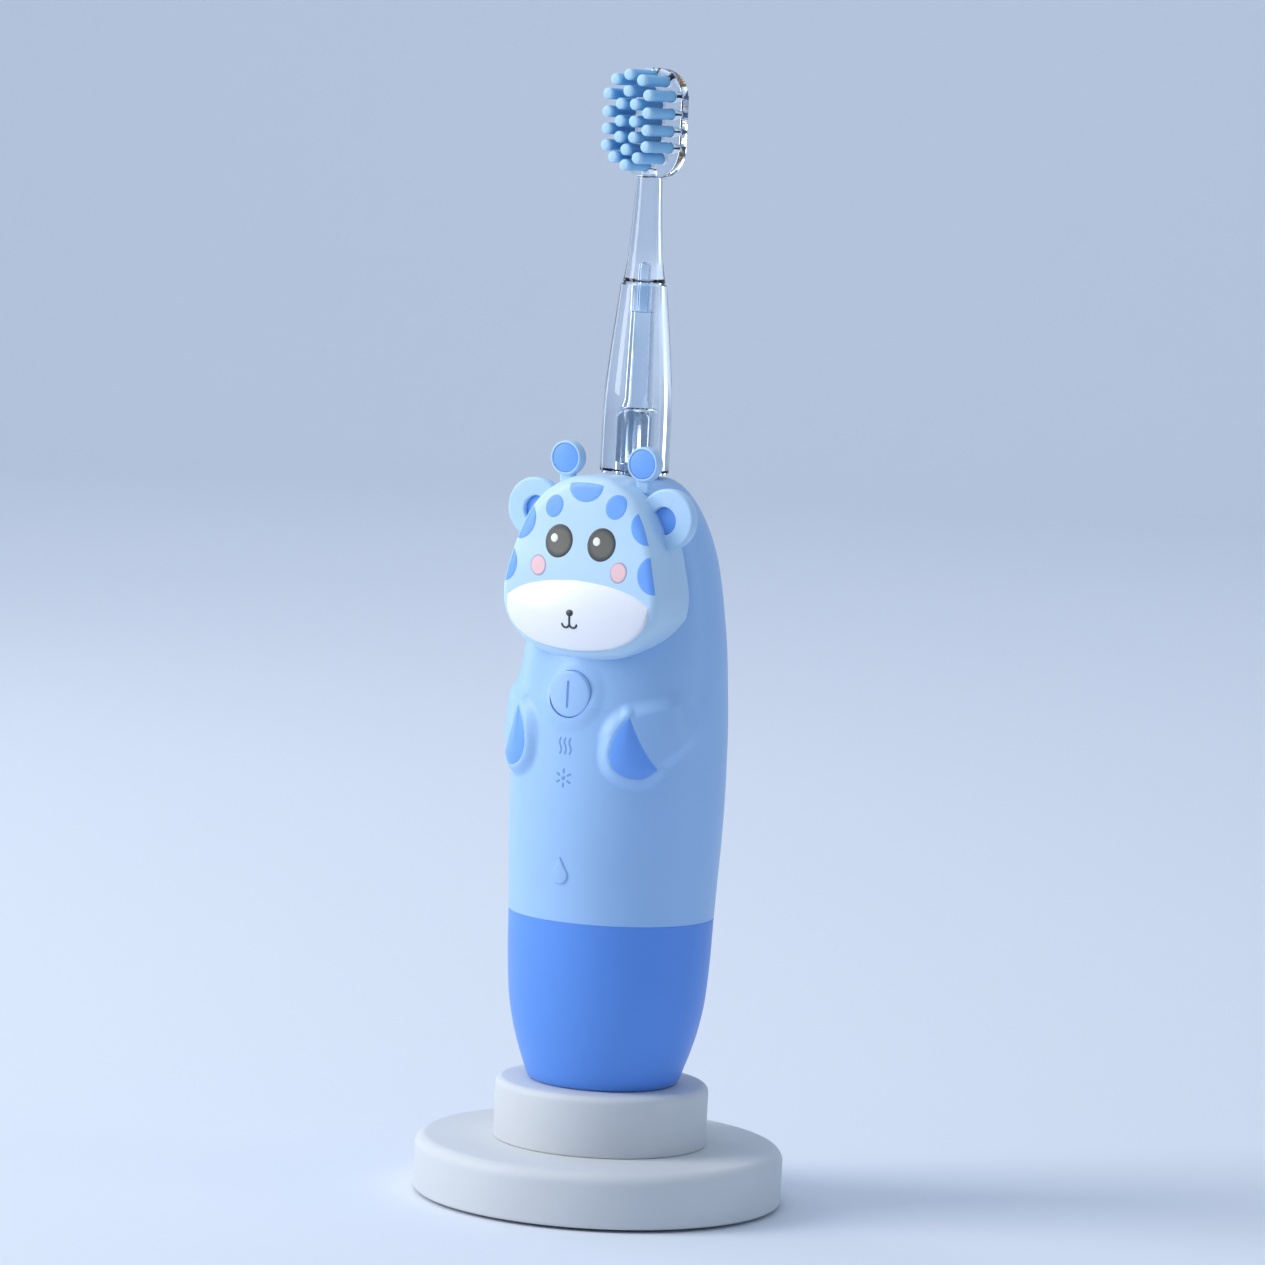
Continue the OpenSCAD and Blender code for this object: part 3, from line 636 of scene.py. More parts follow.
def distance_to(point, outline):
    """The distance from a point to a closed outline: negative inside it."""
    nearest = 1e9
    crossings = 0
    for start, end in zip(outline, outline[1:] + outline[:1]):
        side = end - start
        share = (point - start).dot(side) / max(side.length_squared, 1e-12)
        nearest = min(nearest, (point - start - side * min(max(share, 0), 1)).length)
        if (start.y > point.y) != (end.y > point.y):
            crossings += point.x < start.x + side.x * (point.y - start.y) / side.y
    return -nearest if crossings % 2 else nearest


# Where a hoof's middle is, in degrees from the front, and the radius it is laid out on. Its outline is
# (distance across, height): a round side towards the front and a hollow side towards the sleeve.
HOOF_AT = 35
HOOF_R = 18.2
HOOF_ROUND = [(-0.3, 86.2), (-2.2, 83.5), (-3.2, 80.2), (-2.7, 77.4), (-0.7, 75.8), (2.2, 75.5), (4.7, 77.2)]
HOOF_HOLLOW = [(4.7, 77.2), (2.9, 79.5), (1.1, 82.8), (-0.3, 86.2)]
hoof_outline = smooth_path(HOOF_ROUND)[:-1] + smooth_path(HOOF_HOLLOW)[:-1]
sleeve_start, sleeve_end = Vector((1.6, 81.6)), Vector((12.6, 87.0))
sleeve_r = 5.7
sleeve_taper = 2.2
arm_rise = 1.35
bed_depth = 0.35
swelling_rise = 0.3
# How much flatter the front is than the handle's outline: (depth, height)
WAIST = [(0, 87), (1.6, 96), (2.6, 101), (2.6, 112), (0, 118)]
rim_low, rim_high = corners("power_button")
button_z = (rim_low.z + rim_high.z) / 2


def arm_height(turn, z):
    """How far the arm stands off the body at an angle from the front and a height."""
    if not 72 < z < 92 or not 15 < abs(turn) < 95:
        return 0
    here = Vector((radians(abs(turn) - HOOF_AT) * HOOF_R, z))
    sleeve = sleeve_end - sleeve_start
    share = min(max((here - sleeve_start).dot(sleeve) / sleeve.length_squared, 0), 1)
    off_sleeve = (here - sleeve_start - sleeve * share).length - (sleeve_r - sleeve_taper * share)
    rise = (1 - ease(off_sleeve, -1.4, 1.5)) * (1 - 0.9 * ease(share, 0.5, 1.0))
    off_hoof = distance_to(here, hoof_outline)
    rim_rise = 1 - ease(off_hoof, 0.15, 2.2)
    bed = bed_depth * (1 - ease(off_hoof, -0.6, -0.05))
    return arm_rise * max(rise, rim_rise) - bed


def body_radius(turn, z):
    """The upper body's outer radius: arms, button swelling and the flatter front under the chin."""
    radius = handle_radius(z)
    across = radius * sin(radians(turn)) if abs(turn) < 90 else 99
    swelling = swelling_rise * (1 - ease(hypot(across, z - button_z), 4.5, 6.8))
    waist = smooth_line(WAIST, z)
    return radius + arm_height(turn, z) + swelling - waist * (1 - ease(abs(turn), 25, 90))


def on_body(turn, z, lift=0.0):
    """A place on the upper body, in millimetres, lifted off its surface."""
    radius = body_radius(turn, z) + lift
    return Vector((radius * sin(radians(turn)), -radius * cos(radians(turn)), z))


body_wall = 1.9
seal_r = 4.4
half_turns = steps_between(0, 16, 32)[:-1] + steps_between(16, 76, 56)[:-1] + steps_between(76, 180, 34)
turns = [-turn for turn in half_turns[:0:-1]] + half_turns
heights = (steps_between(body_low.z + 0.1, 72, 20)[:-1] + steps_between(72, 96, 96)[:-1]
           + steps_between(96, body_high.z - 0.3, 44))
# Rows from the foot up the outside, through the neck's hole and down the inside: (kind, radius, height)
rows = [("plain", handle_radius(body_low.z) - edge_break, body_low.z)] + [("outside", 0, z) for z in heights]
rows += [("plain", 6.2, body_high.z), ("plain", seal_r + 0.2, body_high.z),
         ("plain", seal_r, body_high.z - 0.2), ("plain", seal_r, 121), ("plain", 6, 121)]
rows += [("plain", handle_radius(z) - body_wall, z) for z in steps_between(119.5, body_low.z, 26)]
rows.append(rows[0])


def body_place(turn, row):
    """A place on the shell: on the shaped outside, or on the plain wall behind the flatter front."""
    kind, radius, z = row
    if kind == "outside":
        return on_body(turn, z)
    front_cut = 3 * (1 - ease(abs(turn), 25, 90)) * ease(z, 86, 96) * (z < 119)
    radius = radius - (front_cut if radius > seal_r + 2 else 0)
    return Vector((radius * sin(radians(turn)), -radius * cos(radians(turn)), z))


upper_body = skin("upper_body_shell", turns, rows, body_place)
button_r = corners("button_gasket")[1].x - 1
button_gap = 0.09
bpy.ops.mesh.primitive_cylinder_add(vertices=96, radius=(button_r + button_gap) * MM, depth=20 * MM,
                                    location=(0, -20 * MM, button_z * MM), rotation=(pi / 2, 0, 0))
bore_cutter = bpy.context.object
bpy.ops.object.transform_apply(location=True, rotation=True, scale=True)
combine(upper_body, bore_cutter)
body_blue = moulded("body_blue", linear(163, 203, 248), 0.38)
hand_in(upper_body, body_blue, "handle", "body_blue", "upper_body")


# The hooves: two petals of darker blue plastic pressed into their beds in the arms. They are slightly
# domed, and their rounded edges leave a thin groove all round.

def inset(outline, amount):
    """An outline moved inwards by a distance, which may differ from point to point."""
    moved = []
    count = len(outline)
    area = sum(a.x * b.y - b.x * a.y for a, b in zip(outline, outline[1:] + outline[:1]))
    for i, point in enumerate(outline):
        tangent = (outline[(i + 1) % count] - outline[i - 1]).normalized()
        inward = Vector((-tangent.y, tangent.x)) * (1 if area > 0 else -1)
        moved.append(point + inward * amount(point))
    return moved


def plate(name, outline, place, top, sink, edge, dome=0.0, rings=6, edge_steps=4, smooth_angle=40,
          reach=0.0):
    """A plate with a rounded edge, drawn as a closed outline and laid on a surface by place(u, v, lift).
    Its face is top above that surface, its back is sink below it, and dome raises its middle: evenly
    from the border to the middle, or within a reach of the border."""
    edge_at = edge if callable(edge) else lambda point: edge
    middle = sum(outline, Vector((0, 0))) / len(outline)
    levels = [([middle] * len(outline), [-sink] * len(outline)), (outline, [-sink] * len(outline))]
    for k in range(edge_steps + 1):
        t = radians(90 * k / edge_steps)
        levels.append((inset(outline, lambda point: edge_at(point) * (1 - cos(t))),
                       [top - edge_at(point) * (1 - sin(t)) for point in outline]))
    border = levels[-1][0]
    for k in range(1, rings + 1):
        share = 1 - k / rings
        inner = [middle + (point - middle) * share for point in border]
        swell = [share] * len(inner)
        if reach:
            swell = [1 - min(max(-distance_to(point, border), 0) / reach, 1) for point in inner]
        levels.append((inner, [top + dome * (1 - left * left) for left in swell]))

    def level_place(index, level):
        points, lifts = level
        index = index % len(outline)
        return place(points[index].x, points[index].y, lifts[index])

    return skin(name, list(range(len(outline) + 1)), levels, level_place, smooth_angle)


def in_sleeve(side):
    """The places of a hoof's plate, sunk in the arm on one side."""
    def place(u, v, lift):
        turn = HOOF_AT + u / HOOF_R * 180 / pi
        radius = handle_radius(v) + arm_rise + lift
        return Vector((side * radius * sin(radians(turn)), -radius * cos(radians(turn)), v))
    return place


def joined(name, pieces):
    """Joins finished pieces into one."""
    bpy.ops.object.select_all(action="DESELECT")
    for piece in pieces:
        piece.select_set(True)
    bpy.context.view_layer.objects.active = pieces[0]
    bpy.ops.object.join()
    whole = bpy.context.object
    whole.name = whole.data.name = name
    whole.select_set(False)
    return whole


hoof_petal = inset([Vector(point) for point in hoof_outline], lambda point: 0.02)
hooves = joined("hoof_faces", [plate("hoof", hoof_petal, in_sleeve(side), top=0.06, sink=0.45, edge=0.26,
                                     dome=0.45, rings=12, reach=2.4) for side in (-1, 1)])
hoof_blue = moulded("hoof_blue", linear(114, 170, 252), 0.38)
hand_in(hooves, hoof_blue, "handle", "spot_blue", "hooves")


# The marks on the front: three upright waves and a small star of thin darker ink lines, and a plain
# drop moulded in the body's own plastic.

def ribbon(name, path, place, width, rise, sink=0.12, sides=12):
    """A narrow raised line with round ends that follows a path over a surface."""
    path = [Vector(point) for point in path]
    stations = []
    first = (path[1] - path[0]).normalized()
    last = (path[-1] - path[-2]).normalized()
    for t in steps_between(90, 18, 4):
        stations.append((path[0] - first * width / 2 * sin(radians(t)), first, cos(radians(t))))
    for i, point in enumerate(path):
        ahead = (path[min(i + 1, len(path) - 1)] - path[max(i - 1, 0)]).normalized()
        stations.append((point, ahead, 1))
    for t in steps_between(18, 90, 4):
        stations.append((path[-1] + last * width / 2 * sin(radians(t)), last, cos(radians(t))))

    def station_place(angle, station):
        point, ahead, share = station
        across = Vector((-ahead.y, ahead.x)) * width / 2 * share * cos(radians(angle))
        lift = (rise if angle < 180 else sink) * sin(radians(angle)) * max(share, 0.01)
        return place(point.x + across.x, point.y + across.y, lift)

    return skin(name, steps_between(0, 360, sides), stations, station_place, 60)


def on_front(x, z, lift):
    """A place on the body's front, by its distance across and its height."""
    turn = x / handle_radius(z) * 180 / pi
    return on_body(turn, z, lift)


def middle_z(node):
    """The height of a CAD node's middle, in millimetres."""
    low, high = corners(node)
    return (low.z + high.z) / 2


ink_rise = 0.05
wave_half = 1.3
wave_z = middle_z("wave_indicator")
waves = []
for x in (-0.95, 0, 0.95):
    path = [(x + 0.2 * sin(2 * pi * t), wave_z - wave_half + 2 * wave_half * t)
            for t in steps_between(0, 1, 14)]
    waves.append(ribbon("wave", path, on_front, width=0.34, rise=ink_rise))
star_z = middle_z("star_indicator")
rays = [ribbon("ray", [(-0.05, star_z - 0.05), (0.05, star_z + 0.05)], on_front, width=0.7, rise=ink_rise)]
for angle in range(30, 390, 60):
    out = Vector((cos(radians(angle)), sin(radians(angle))))
    path = [Vector((0, star_z)) + out * r for r in (0.95, 1.2, 1.45)]
    rays.append(ribbon("ray", path, on_front, width=0.4, rise=ink_rise))
ink = grained("indicator_blue", linear(122, 164, 222), 0.45, tone=((1200, 2), 0.9),
              gloss=((700, 2), 0.15, 0.38), grain=((3600, 2), 0.01, 0.5))
hand_in(joined("wave_mark", waves), ink, "handle", "indicator_blue", "wave_indicator")
hand_in(joined("star_mark", rays), ink, "handle", "indicator_blue", "star_indicator")

drop_r = 1.55
drop_top = corners("droplet_badge")[1].z
belly_z = drop_top - 3.1
drop = [(0, drop_top)]
drop += [(drop_r * cos(radians(a)), belly_z + drop_r * sin(radians(a))) for a in range(155, 386, 10)]
drop_path = smooth_path(drop + drop[:1], 2)[:-1]
badge = plate("droplet_badge_relief", drop_path, on_front, top=0.28, sink=0.3, edge=0.25, dome=0.05, rings=4)
hand_in(badge, body_blue, "handle", "body_blue", "droplet_badge")


# The power button: a slightly domed round cap with one upright line cut into it. It slides in the
# hole of the body, and a wider rim behind the wall keeps it in.

def on_cap(x, z, lift):
    """The button's face follows the body's curve, and its back is flat."""
    radius = handle_radius(button_z) + swelling_rise - 0.02
    return Vector((x, min(-sqrt(radius * radius - x * x) - lift, rim_low.y + 3.4), z))


def facing_front(piece, x, y, z):
    """Lays a piece that was turned about Z so that its top looks to the front, at a place."""
    piece.rotation_euler = (pi / 2, 0, 0)
    piece.location = (x * MM, y * MM, z * MM)
    bpy.ops.object.select_all(action="DESELECT")
    piece.select_set(True)
    bpy.context.view_layer.objects.active = piece
    bpy.ops.object.transform_apply(location=True, rotation=True, scale=True)
    piece.select_set(False)
    return piece


cap_turns = [2 * pi * k / 72 for k in range(72)]
round_cap = [Vector((button_r * cos(t), button_z + button_r * sin(t))) for t in cap_turns]
cap = plate("power_button_cap", round_cap, on_cap, top=0, sink=30, edge=0.28, dome=0.15, rings=10,
            edge_steps=5)
line = [(0, button_z - 2.1), (0, button_z), (0, button_z + 2.1)]
combine(cap, ribbon("line_cutter", line, on_cap, width=0.5, rise=1.2, sink=0.2))
rim_r = button_r + 0.6
rim_outline = [(0, 0), (rim_r, 0), (rim_r, 0.7), (rim_r - 0.2, 0.9), (0, 0.9)]
button_rim = facing_front(turned("button_rim", rim_outline, steps=72), 0, rim_high.y, button_z)
button_blue = moulded("button_blue", linear(167, 206, 250), 0.34, grain=0.008)
hand_in(joined("power_button_cap", [cap, button_rim]), button_blue, "button", "body_blue", "power_button")


# Inside the handle: the seals, the receiving coil on its bobbin, the nylon chassis with the cell and
# the board, and the sonic motor whose torsion bar springs the shaft back.
carry(grained("seal_rubber", linear(120, 128, 138), 0.7, tone=((500, 3), 0.8), gloss=((350, 2), 0.2, 0.6),
              grain=((2600, 2), 0.02, 0.5)), "seal_ring", "button_gasket", "neck_seal")
carry(grained("white_nylon", linear(232, 233, 228), 0.5, tone=((60, 3), 0.94), gloss=((240, 2), 0.15, 0.42),
              grain=((2200, 3), 0.02, 0.5), Subsurface_Weight=0.1, Subsurface_Scale=0.002),
      "coil_bobbin", "chassis")

wrap_low, wrap_high = corners("battery")
wrap = Finish("battery_wrap", linear(94, 92, 190), 0.28)
steel_end = 1 - wrap.axis("Z").over((wrap_low.z + 0.5) * MM, (wrap_low.z + 0.7) * MM)
steel_end = steel_end + wrap.axis("Z").over((wrap_high.z - 1.6) * MM, (wrap_high.z - 1.4) * MM)
wrinkles = wrap.noise(260, 4, (1, 1, 0.4))
wrap.set("Base Color", wrap.mix(steel_end, wrap.mix(wrinkles, linear(84, 82, 176), linear(106, 104, 206)),
                                linear(198, 200, 204)))
wrap.set("Metallic", steel_end)
wrap.set("Roughness", wrinkles * 0.2 + 0.18)
wrap.relief(wrinkles, 0.04 * MM, 0.5)
carry(wrap.material, "battery")

carry(grained("lead_wire", linear(178, 44, 48), 0.42, tone=((420, 2), 0.82), gloss=((300, 2), 0.15, 0.35),
              grain=((1800, 2, (1, 1, 0.2)), 0.02, 0.5)), "coil_leads")
carry(drawn_steel("nickel", linear(200, 198, 190), 0.3, (1, 1, 0.2)), "battery_tabs")
carry(drawn_steel("motor_steel", linear(182, 186, 190), 0.34, (0.08, 0.08, 1)),
      "motor_can", "motor_end_cap", "torsion_bar")
carry(grained("magnet", linear(92, 94, 98), 0.36, tone=((800, 4), 0.75), gloss=((600, 3), 0.2, 0.28),
              grain=((1900, 3), 0.015, 0.5), Metallic=1.0), "rotor_magnet")

bronze = Finish("bronze", linear(186, 142, 78), 0.38, Metallic=1.0)
pores = bronze.noise(3000, 3).over(0.55, 0.75)
bronze.tone(pores, 0.55)
bronze.set("Roughness", pores * 0.3 + 0.32)
bronze.relief(1 - pores, 0.02 * MM, 0.6)
carry(bronze.material, "front_bearing", "rear_bearing", "tuft_anchors")


# The giraffe's head: a pale cyan hollow block with a nearly flat front that leans back a little over
# the forehead. It is welded to the flattened front of the body.

# One half of the head's outline, from the chin to the top: (distance from the middle, height)
FACE_HALF = [(0, 94.5), (4, 94.8), (8.8, 96.0), (12.8, 98.6), (14.9, 102.0), (15.45, 105.4), (15.2, 107.8),
             (14.5, 110.8), (13.6, 114.2), (12.4, 117.5), (10.9, 120.3), (9.0, 122.6), (6.5, 124.4),
             (3.4, 125.7), (0, 126.0)]
# How far forward the head's front stands, and how wide its rounded border is: (value, height)
PROFILE = [(-17.0, 94.5), (-17.4, 100), (-17.6, 104), (-17.5, 110), (-17.0, 114.7), (-16.7, 118),
           (-16.4, 121), (-16.0, 123.5), (-15.5, 126)]
EDGE_ROUND = [(2.2, 94.5), (2.2, 98), (1.7, 101.5), (1.6, 108), (1.6, 112), (1.8, 117.5), (2.0, 122.5),
              (2.0, 126)]
head_back = corners("face_shell")[1].y


def mirrored(half):
    """The whole closed outline of a shape that is the same on the left and the right."""
    return half + [Vector((-point.x, point.y)) for point in half[::-1] if point.x > 0.01]


def head_front(x, z):
    """How far forward the head's front stands, before its edges are rounded."""
    return smooth_line(PROFILE, z) + 0.8 * (x / 15) ** 2


def edge_round(point):
    """How wide the head's rounded border is at a point of its outline."""
    return smooth_line(EDGE_ROUND, point.y)


def in_head_block(x, z, lift):
    """A place in the head, between its front and its flat back."""
    return Vector((x, min(head_front(x, z) - lift, head_back), z))


face_outline = mirrored(smooth_path(FACE_HALF, 5))
face = plate("face_shell_block", face_outline, in_head_block, top=0, sink=30, edge=edge_round, rings=14,
             edge_steps=8)
face_cyan = moulded("face_cyan", linear(197, 228, 252), 0.34, grain=0.006)
hand_in(face, face_cyan, "handle", "face_cyan", "face_shell")


# The muzzle: a white cushion of plastic, most swollen in its middle. It is moulded on its own and
# snapped into the lower face.

# One half of its outline, below and above its widest place: (distance from the middle, height)
MUZZLE_LOW = [(0, 96.4), (4, 96.65), (8.1, 97.5), (11.4, 99.3), (13.4, 101.8), (14, 104.8)]
MUZZLE_TOP = [(14, 104.8), (11, 106.6), (6, 107.9), (0, 108.4)]
swollen_z = 101.8
swell_across = 15.2
swell_tall = 6.6
muzzle_rise = 1.75


def on_face(x, z, lift):
    """A place on the head's front, with its rounded edge."""
    radius = smooth_line(EDGE_ROUND, z)
    depth = -distance_to(Vector((x, z)), face_outline)
    fall = radius - sqrt(max(radius ** 2 - max(radius - depth, 0) ** 2, 0)) if depth < radius else 0
    return Vector((x, head_front(x, z) + fall - lift, z))


def on_muzzle(x, z, lift):
    """A place on the swollen front of the muzzle."""
    off_middle = min(hypot(x / swell_across, (z - swollen_z) / swell_tall), 1)
    return Vector((x, head_front(x, z) - muzzle_rise * (1 - off_middle ** 2) ** 0.9 - lift, z))


muzzle_outline = mirrored(smooth_path(MUZZLE_LOW, 6)[:-1] + smooth_path(MUZZLE_TOP, 6))
muzzle = plate("muzzle_cushion", muzzle_outline, on_muzzle, top=0.1, sink=0.6, edge=0.3, rings=14,
               edge_steps=6)
muzzle_white = moulded("muzzle_white", linear(246, 248, 255), 0.32, grain=0.005)
hand_in(muzzle, muzzle_white, "handle", "muzzle_white", "muzzle")


# The mouth: a small nose dot, a short line below it and a smile of two arcs. They are printed in the
# same dark brown as the eyes.
nose_z = corners("mouth")[1].z - 0.62
lip_z = nose_z - 1.8
smile_r = 0.72
stroke = {"place": on_muzzle, "width": 0.42, "rise": 0.28}
strokes = [ribbon("nose", [(-0.12, nose_z), (0.12, nose_z)], on_muzzle, width=1.2, rise=0.30, sink=0.1,
                  sides=16),
           ribbon("lip_line", [(0, nose_z), (0, nose_z - 0.9), (0, lip_z)], **stroke)]
for side in (-1, 1):
    smile = [(side * (smile_r - smile_r * cos(radians(t))), lip_z - smile_r * sin(radians(t)))
             for t in steps_between(0, 165, 12)]
    strokes.append(ribbon("smile", smile, **stroke))

eye_x = 4.2
eye_z = middle_z("eyes")
eye_brown = Finish("eye_brown", linear(98, 96, 88), 0.35)
off_eye = eye_brown.off_pair(eye_x, eye_z)
brown_shade = eye_brown.mix(off_eye.over(1.7 * MM, 2.75 * MM), linear(108, 106, 98), linear(62, 68, 70))
eye_brown.set("Base Color", brown_shade)
eye_brown.set("Roughness", eye_brown.noise(800, 2) * 0.12 + 0.3)
eye_brown.relief(eye_brown.noise(3600, 2), 0.006 * MM, 0.5)
hand_in(joined("mouth_print", strokes), eye_brown.material, "handle", "eye_brown", "mouth")


# Eyes, glints, cheeks and spots: thin inlays of coloured plastic, moulded flush into the face so that
# they follow its surface. The cheeks are pink inside a thin mauve line.

def oval(x, z, rx, rz, turn, count=40):
    """An oval outline round a middle, turned anticlockwise by an angle in degrees."""
    points = []
    for k in range(count):
        u, v = rx * cos(2 * pi * k / count), rz * sin(2 * pi * k / count)
        t = radians(turn)
        points.append(Vector((x + u * cos(t) - v * sin(t), z + u * sin(t) + v * cos(t))))
    return points


def inlay(name, outline, top=0.05, edge=0.12, rings=6):
    """A thin plate with this outline, let into the face."""
    return plate(name, outline, on_face, top=top, sink=0.25, edge=edge, rings=rings, edge_steps=3)


eyes = joined("eye_inlays", [inlay("eye", oval(x, eye_z, 2.72, 2.9, -20)) for x in (-eye_x, 4.15)])
hand_in(eyes, eye_brown.material, "handle", "eye_brown", "eyes")

glint_white = grained("glint_white", linear(255, 255, 255), 0.25, tone=((700, 2), 0.97),
                      gloss=((500, 2), 0.1, 0.2), grain=((3000, 2), 0.005, 0.5))
glint_z = eye_z + 0.45
glints = joined("eye_glint_dots", [inlay("eye_glint", oval(x, glint_z, 0.72, 0.74, 0, 24), top=0.12, rings=3)
                                   for x in (-5.15, 3.2)])
hand_in(glints, glint_white, "handle", "glint_white", "eye_glints")

cheek_x = 7.9
cheek_z = middle_z("cheeks")
cheek = Finish("cheek_pink", linear(250, 208, 210), 0.4)
off_cheek = cheek.off_pair(cheek_x, cheek_z, squeeze=1.12)
pink_shade = cheek.mix(off_cheek.over(1.4 * MM, 1.65 * MM), linear(252, 208, 210), linear(186, 172, 200))
cheek.set("Base Color", pink_shade)
cheek.set("Roughness", cheek.noise(700, 2) * 0.12 + 0.32)
cheek.relief(cheek.noise(3600, 2), 0.006 * MM, 0.5)
cheeks = joined("cheek_inlays", [inlay("cheek", oval(side * cheek_x, cheek_z, 1.62, 1.86, -15 * side, 32))
                                 for side in (-1, 1)])
hand_in(cheeks, cheek.material, "handle", "cheek_pink", "cheeks")

# Spots: (x, height, half width, half height, turn, room left to the face's edge)
SPOTS = [(-5.8, 120.5, 1.7, 2.0, -25, 0.4), (6.2, 121.2, 1.95, 2.15, -25, 0.4), (0, 124.3, 3.3, 2.7, 0, 1.1),
         (12.3, 118.3, 2.9, 3.1, 20, 0.5), (14.4, 110.3, 3, 3.3, 8, 0.5), (-12, 117.5, 2.6, 3.2, -25, 0.5),
         (-14.6, 110, 2.3, 3, -8, 0.5)]


def kept_inside(outline, border):
    """Moves the points of an outline that lie outside a border onto it."""
    kept = []
    for point in outline:
        if distance_to(point, border) > 0:
            sides = zip(border, border[1:] + border[:1])
            nearest = [start + (end - start) * min(max((point - start).dot(end - start)
                                                       / (end - start).length_squared, 0), 1)
                       for start, end in sides]
            point = min(nearest, key=lambda place: (place - point).length)
        kept.append(point)
    return kept


spot_pieces = []
for x, z, rx, rz, turn, room_left in SPOTS:
    border = inset(face_outline, lambda point: room_left)
    outline = kept_inside(oval(x, z, rx, rz, turn, 56), border)
    spaced = [point for i, point in enumerate(outline) if (point - outline[i - 1]).length > 0.05]
    spot_pieces.append(inlay("spot", spaced))
spots = joined("spot_inlays", spot_pieces)
spot_blue = moulded("spot_blue", linear(120, 176, 255), 0.34, grain=0.006)
hand_in(spots, spot_blue, "handle", "spot_blue", "spots")


# The ears: two round-edged discs of the body's plastic that stand out behind the head. Each has a pit,
# off its middle, with a darker blue pad glued in.
ear_low, ear_high = corners("ears")
ear_z = middle_z("ears")
ear_r = (ear_high.z - ear_low.z) / 2
ear_x = ear_high.x - ear_r
ear_t = ear_high.y - ear_low.y + 0.2
ear_round = 0.5
pit_low, pit_high = corners("ear_inserts")
pit_z = middle_z("ear_inserts")
pit_r = (pit_high.z - pit_low.z) / 2
pit_x = pit_high.x - pit_r
pit_floor = ear_t - 1.25
pit_gap = 0.05
pit_round = 0.25
lip_r = pit_r + pit_gap + pit_round
pad_round = 0.2
ear_outline = ([(0, 0), (ear_r - ear_round, 0)]
               + arc(ear_r - ear_round, ear_round, ear_round, -90, 0, 5)[1:]
               + arc(ear_r - ear_round, ear_t - ear_round, ear_round, 0, 90, 6) + [(0, ear_t)])
pit_outline = ([(0, pit_floor), (pit_r + pit_gap, pit_floor), (pit_r + pit_gap, ear_t - pit_round)]
               + arc(lip_r, ear_t - pit_round, pit_round, 180, 90, 4) + [(lip_r, ear_t + 1), (0, ear_t + 1)])
pad_outline = ([(0, 0), (pit_r, 0), (pit_r, pad_round)]
               + arc(pit_r - pad_round, pad_round, pad_round, 0, 90, 4) + [(0, 0.45)])
ears, ear_pads = [], []
for side in (-1, 1):
    ear = facing_front(turned("ear", ear_outline, steps=80), side * ear_x, ear_high.y, ear_z)
    combine(ear, facing_front(turned("ear_pit", pit_outline, steps=64), side * pit_x, ear_high.y, pit_z))
    ears.append(ear)
    ear_pads.append(facing_front(turned("ear_pad", pad_outline, steps=64), side * pit_x,
                                 ear_high.y - pit_floor + 0.01, pit_z))
ear_blue = moulded("ear_blue", linear(188, 222, 252), 0.36, grain=0.008)
hand_in(joined("ear_discs", ears), ear_blue, "handle", "body_blue", "ears")
hand_in(joined("ear_pads", ear_pads), spot_blue, "handle", "spot_blue", "ear_inserts")


# The horns: two thick coins on short stems that grow from the head's top, of the body's plastic. A
# darker blue pad is pressed into a shallow pit on the front of each.
horn_high = corners("horns")[1]
horn_z = middle_z("horn_pads")
horn_r = horn_high.z - horn_z
horn_x = horn_high.x - horn_r
horn_t = 2.5
back_round = 0.6
front_round = 0.22
lip_round = 0.1
coin_pit = horn_r - 0.42
coin_floor = horn_t - 0.45
coin = ([(0, 0), (horn_r - back_round, 0)]
        + arc(horn_r - back_round, back_round, back_round, -90, 0, 6)[1:]
        + arc(horn_r - front_round, horn_t - front_round, front_round, 0, 90, 5)
        + arc(coin_pit + lip_round, horn_t - lip_round, lip_round, 90, 180, 3)
        + [(coin_pit, coin_floor), (0, coin_floor)])
coin_pad_r = coin_pit - 0.03
coin_pad_t = 0.46
coin_pad = ([(0, 0), (coin_pad_r, 0), (coin_pad_r, pad_round)]
            + arc(coin_pad_r - pad_round, pad_round, pad_round, 0, 90, 4) + [(0, coin_pad_t)])
horns, horn_pads = [], []
for side in (-1, 1):
    horns.append(facing_front(turned("horn", coin, steps=64), side * horn_x, horn_high.y, horn_z))
    stem_low = Vector((side * horn_x - 1.35, horn_high.y - 2.1, horn_z - horn_r - 2.2))
    stem_high = Vector((side * horn_x + 1.35, horn_high.y - 0.3, horn_z - horn_r + 0.8))
    stem = rounded_bar("horn_stem", stem_low, stem_high, 0.6, axis=2)
    clean_up(stem, 35)
    horns.append(stem)
    horn_pads.append(facing_front(turned("horn_pad", coin_pad, steps=64), side * horn_x,
                                  horn_high.y - horn_t + coin_pad_t, horn_z))
hand_in(joined("horn_coins", horns), ear_blue, "handle", "body_blue", "horns")
hand_in(joined("horn_pad_discs", horn_pads), spot_blue, "handle", "spot_blue", "horn_pads")


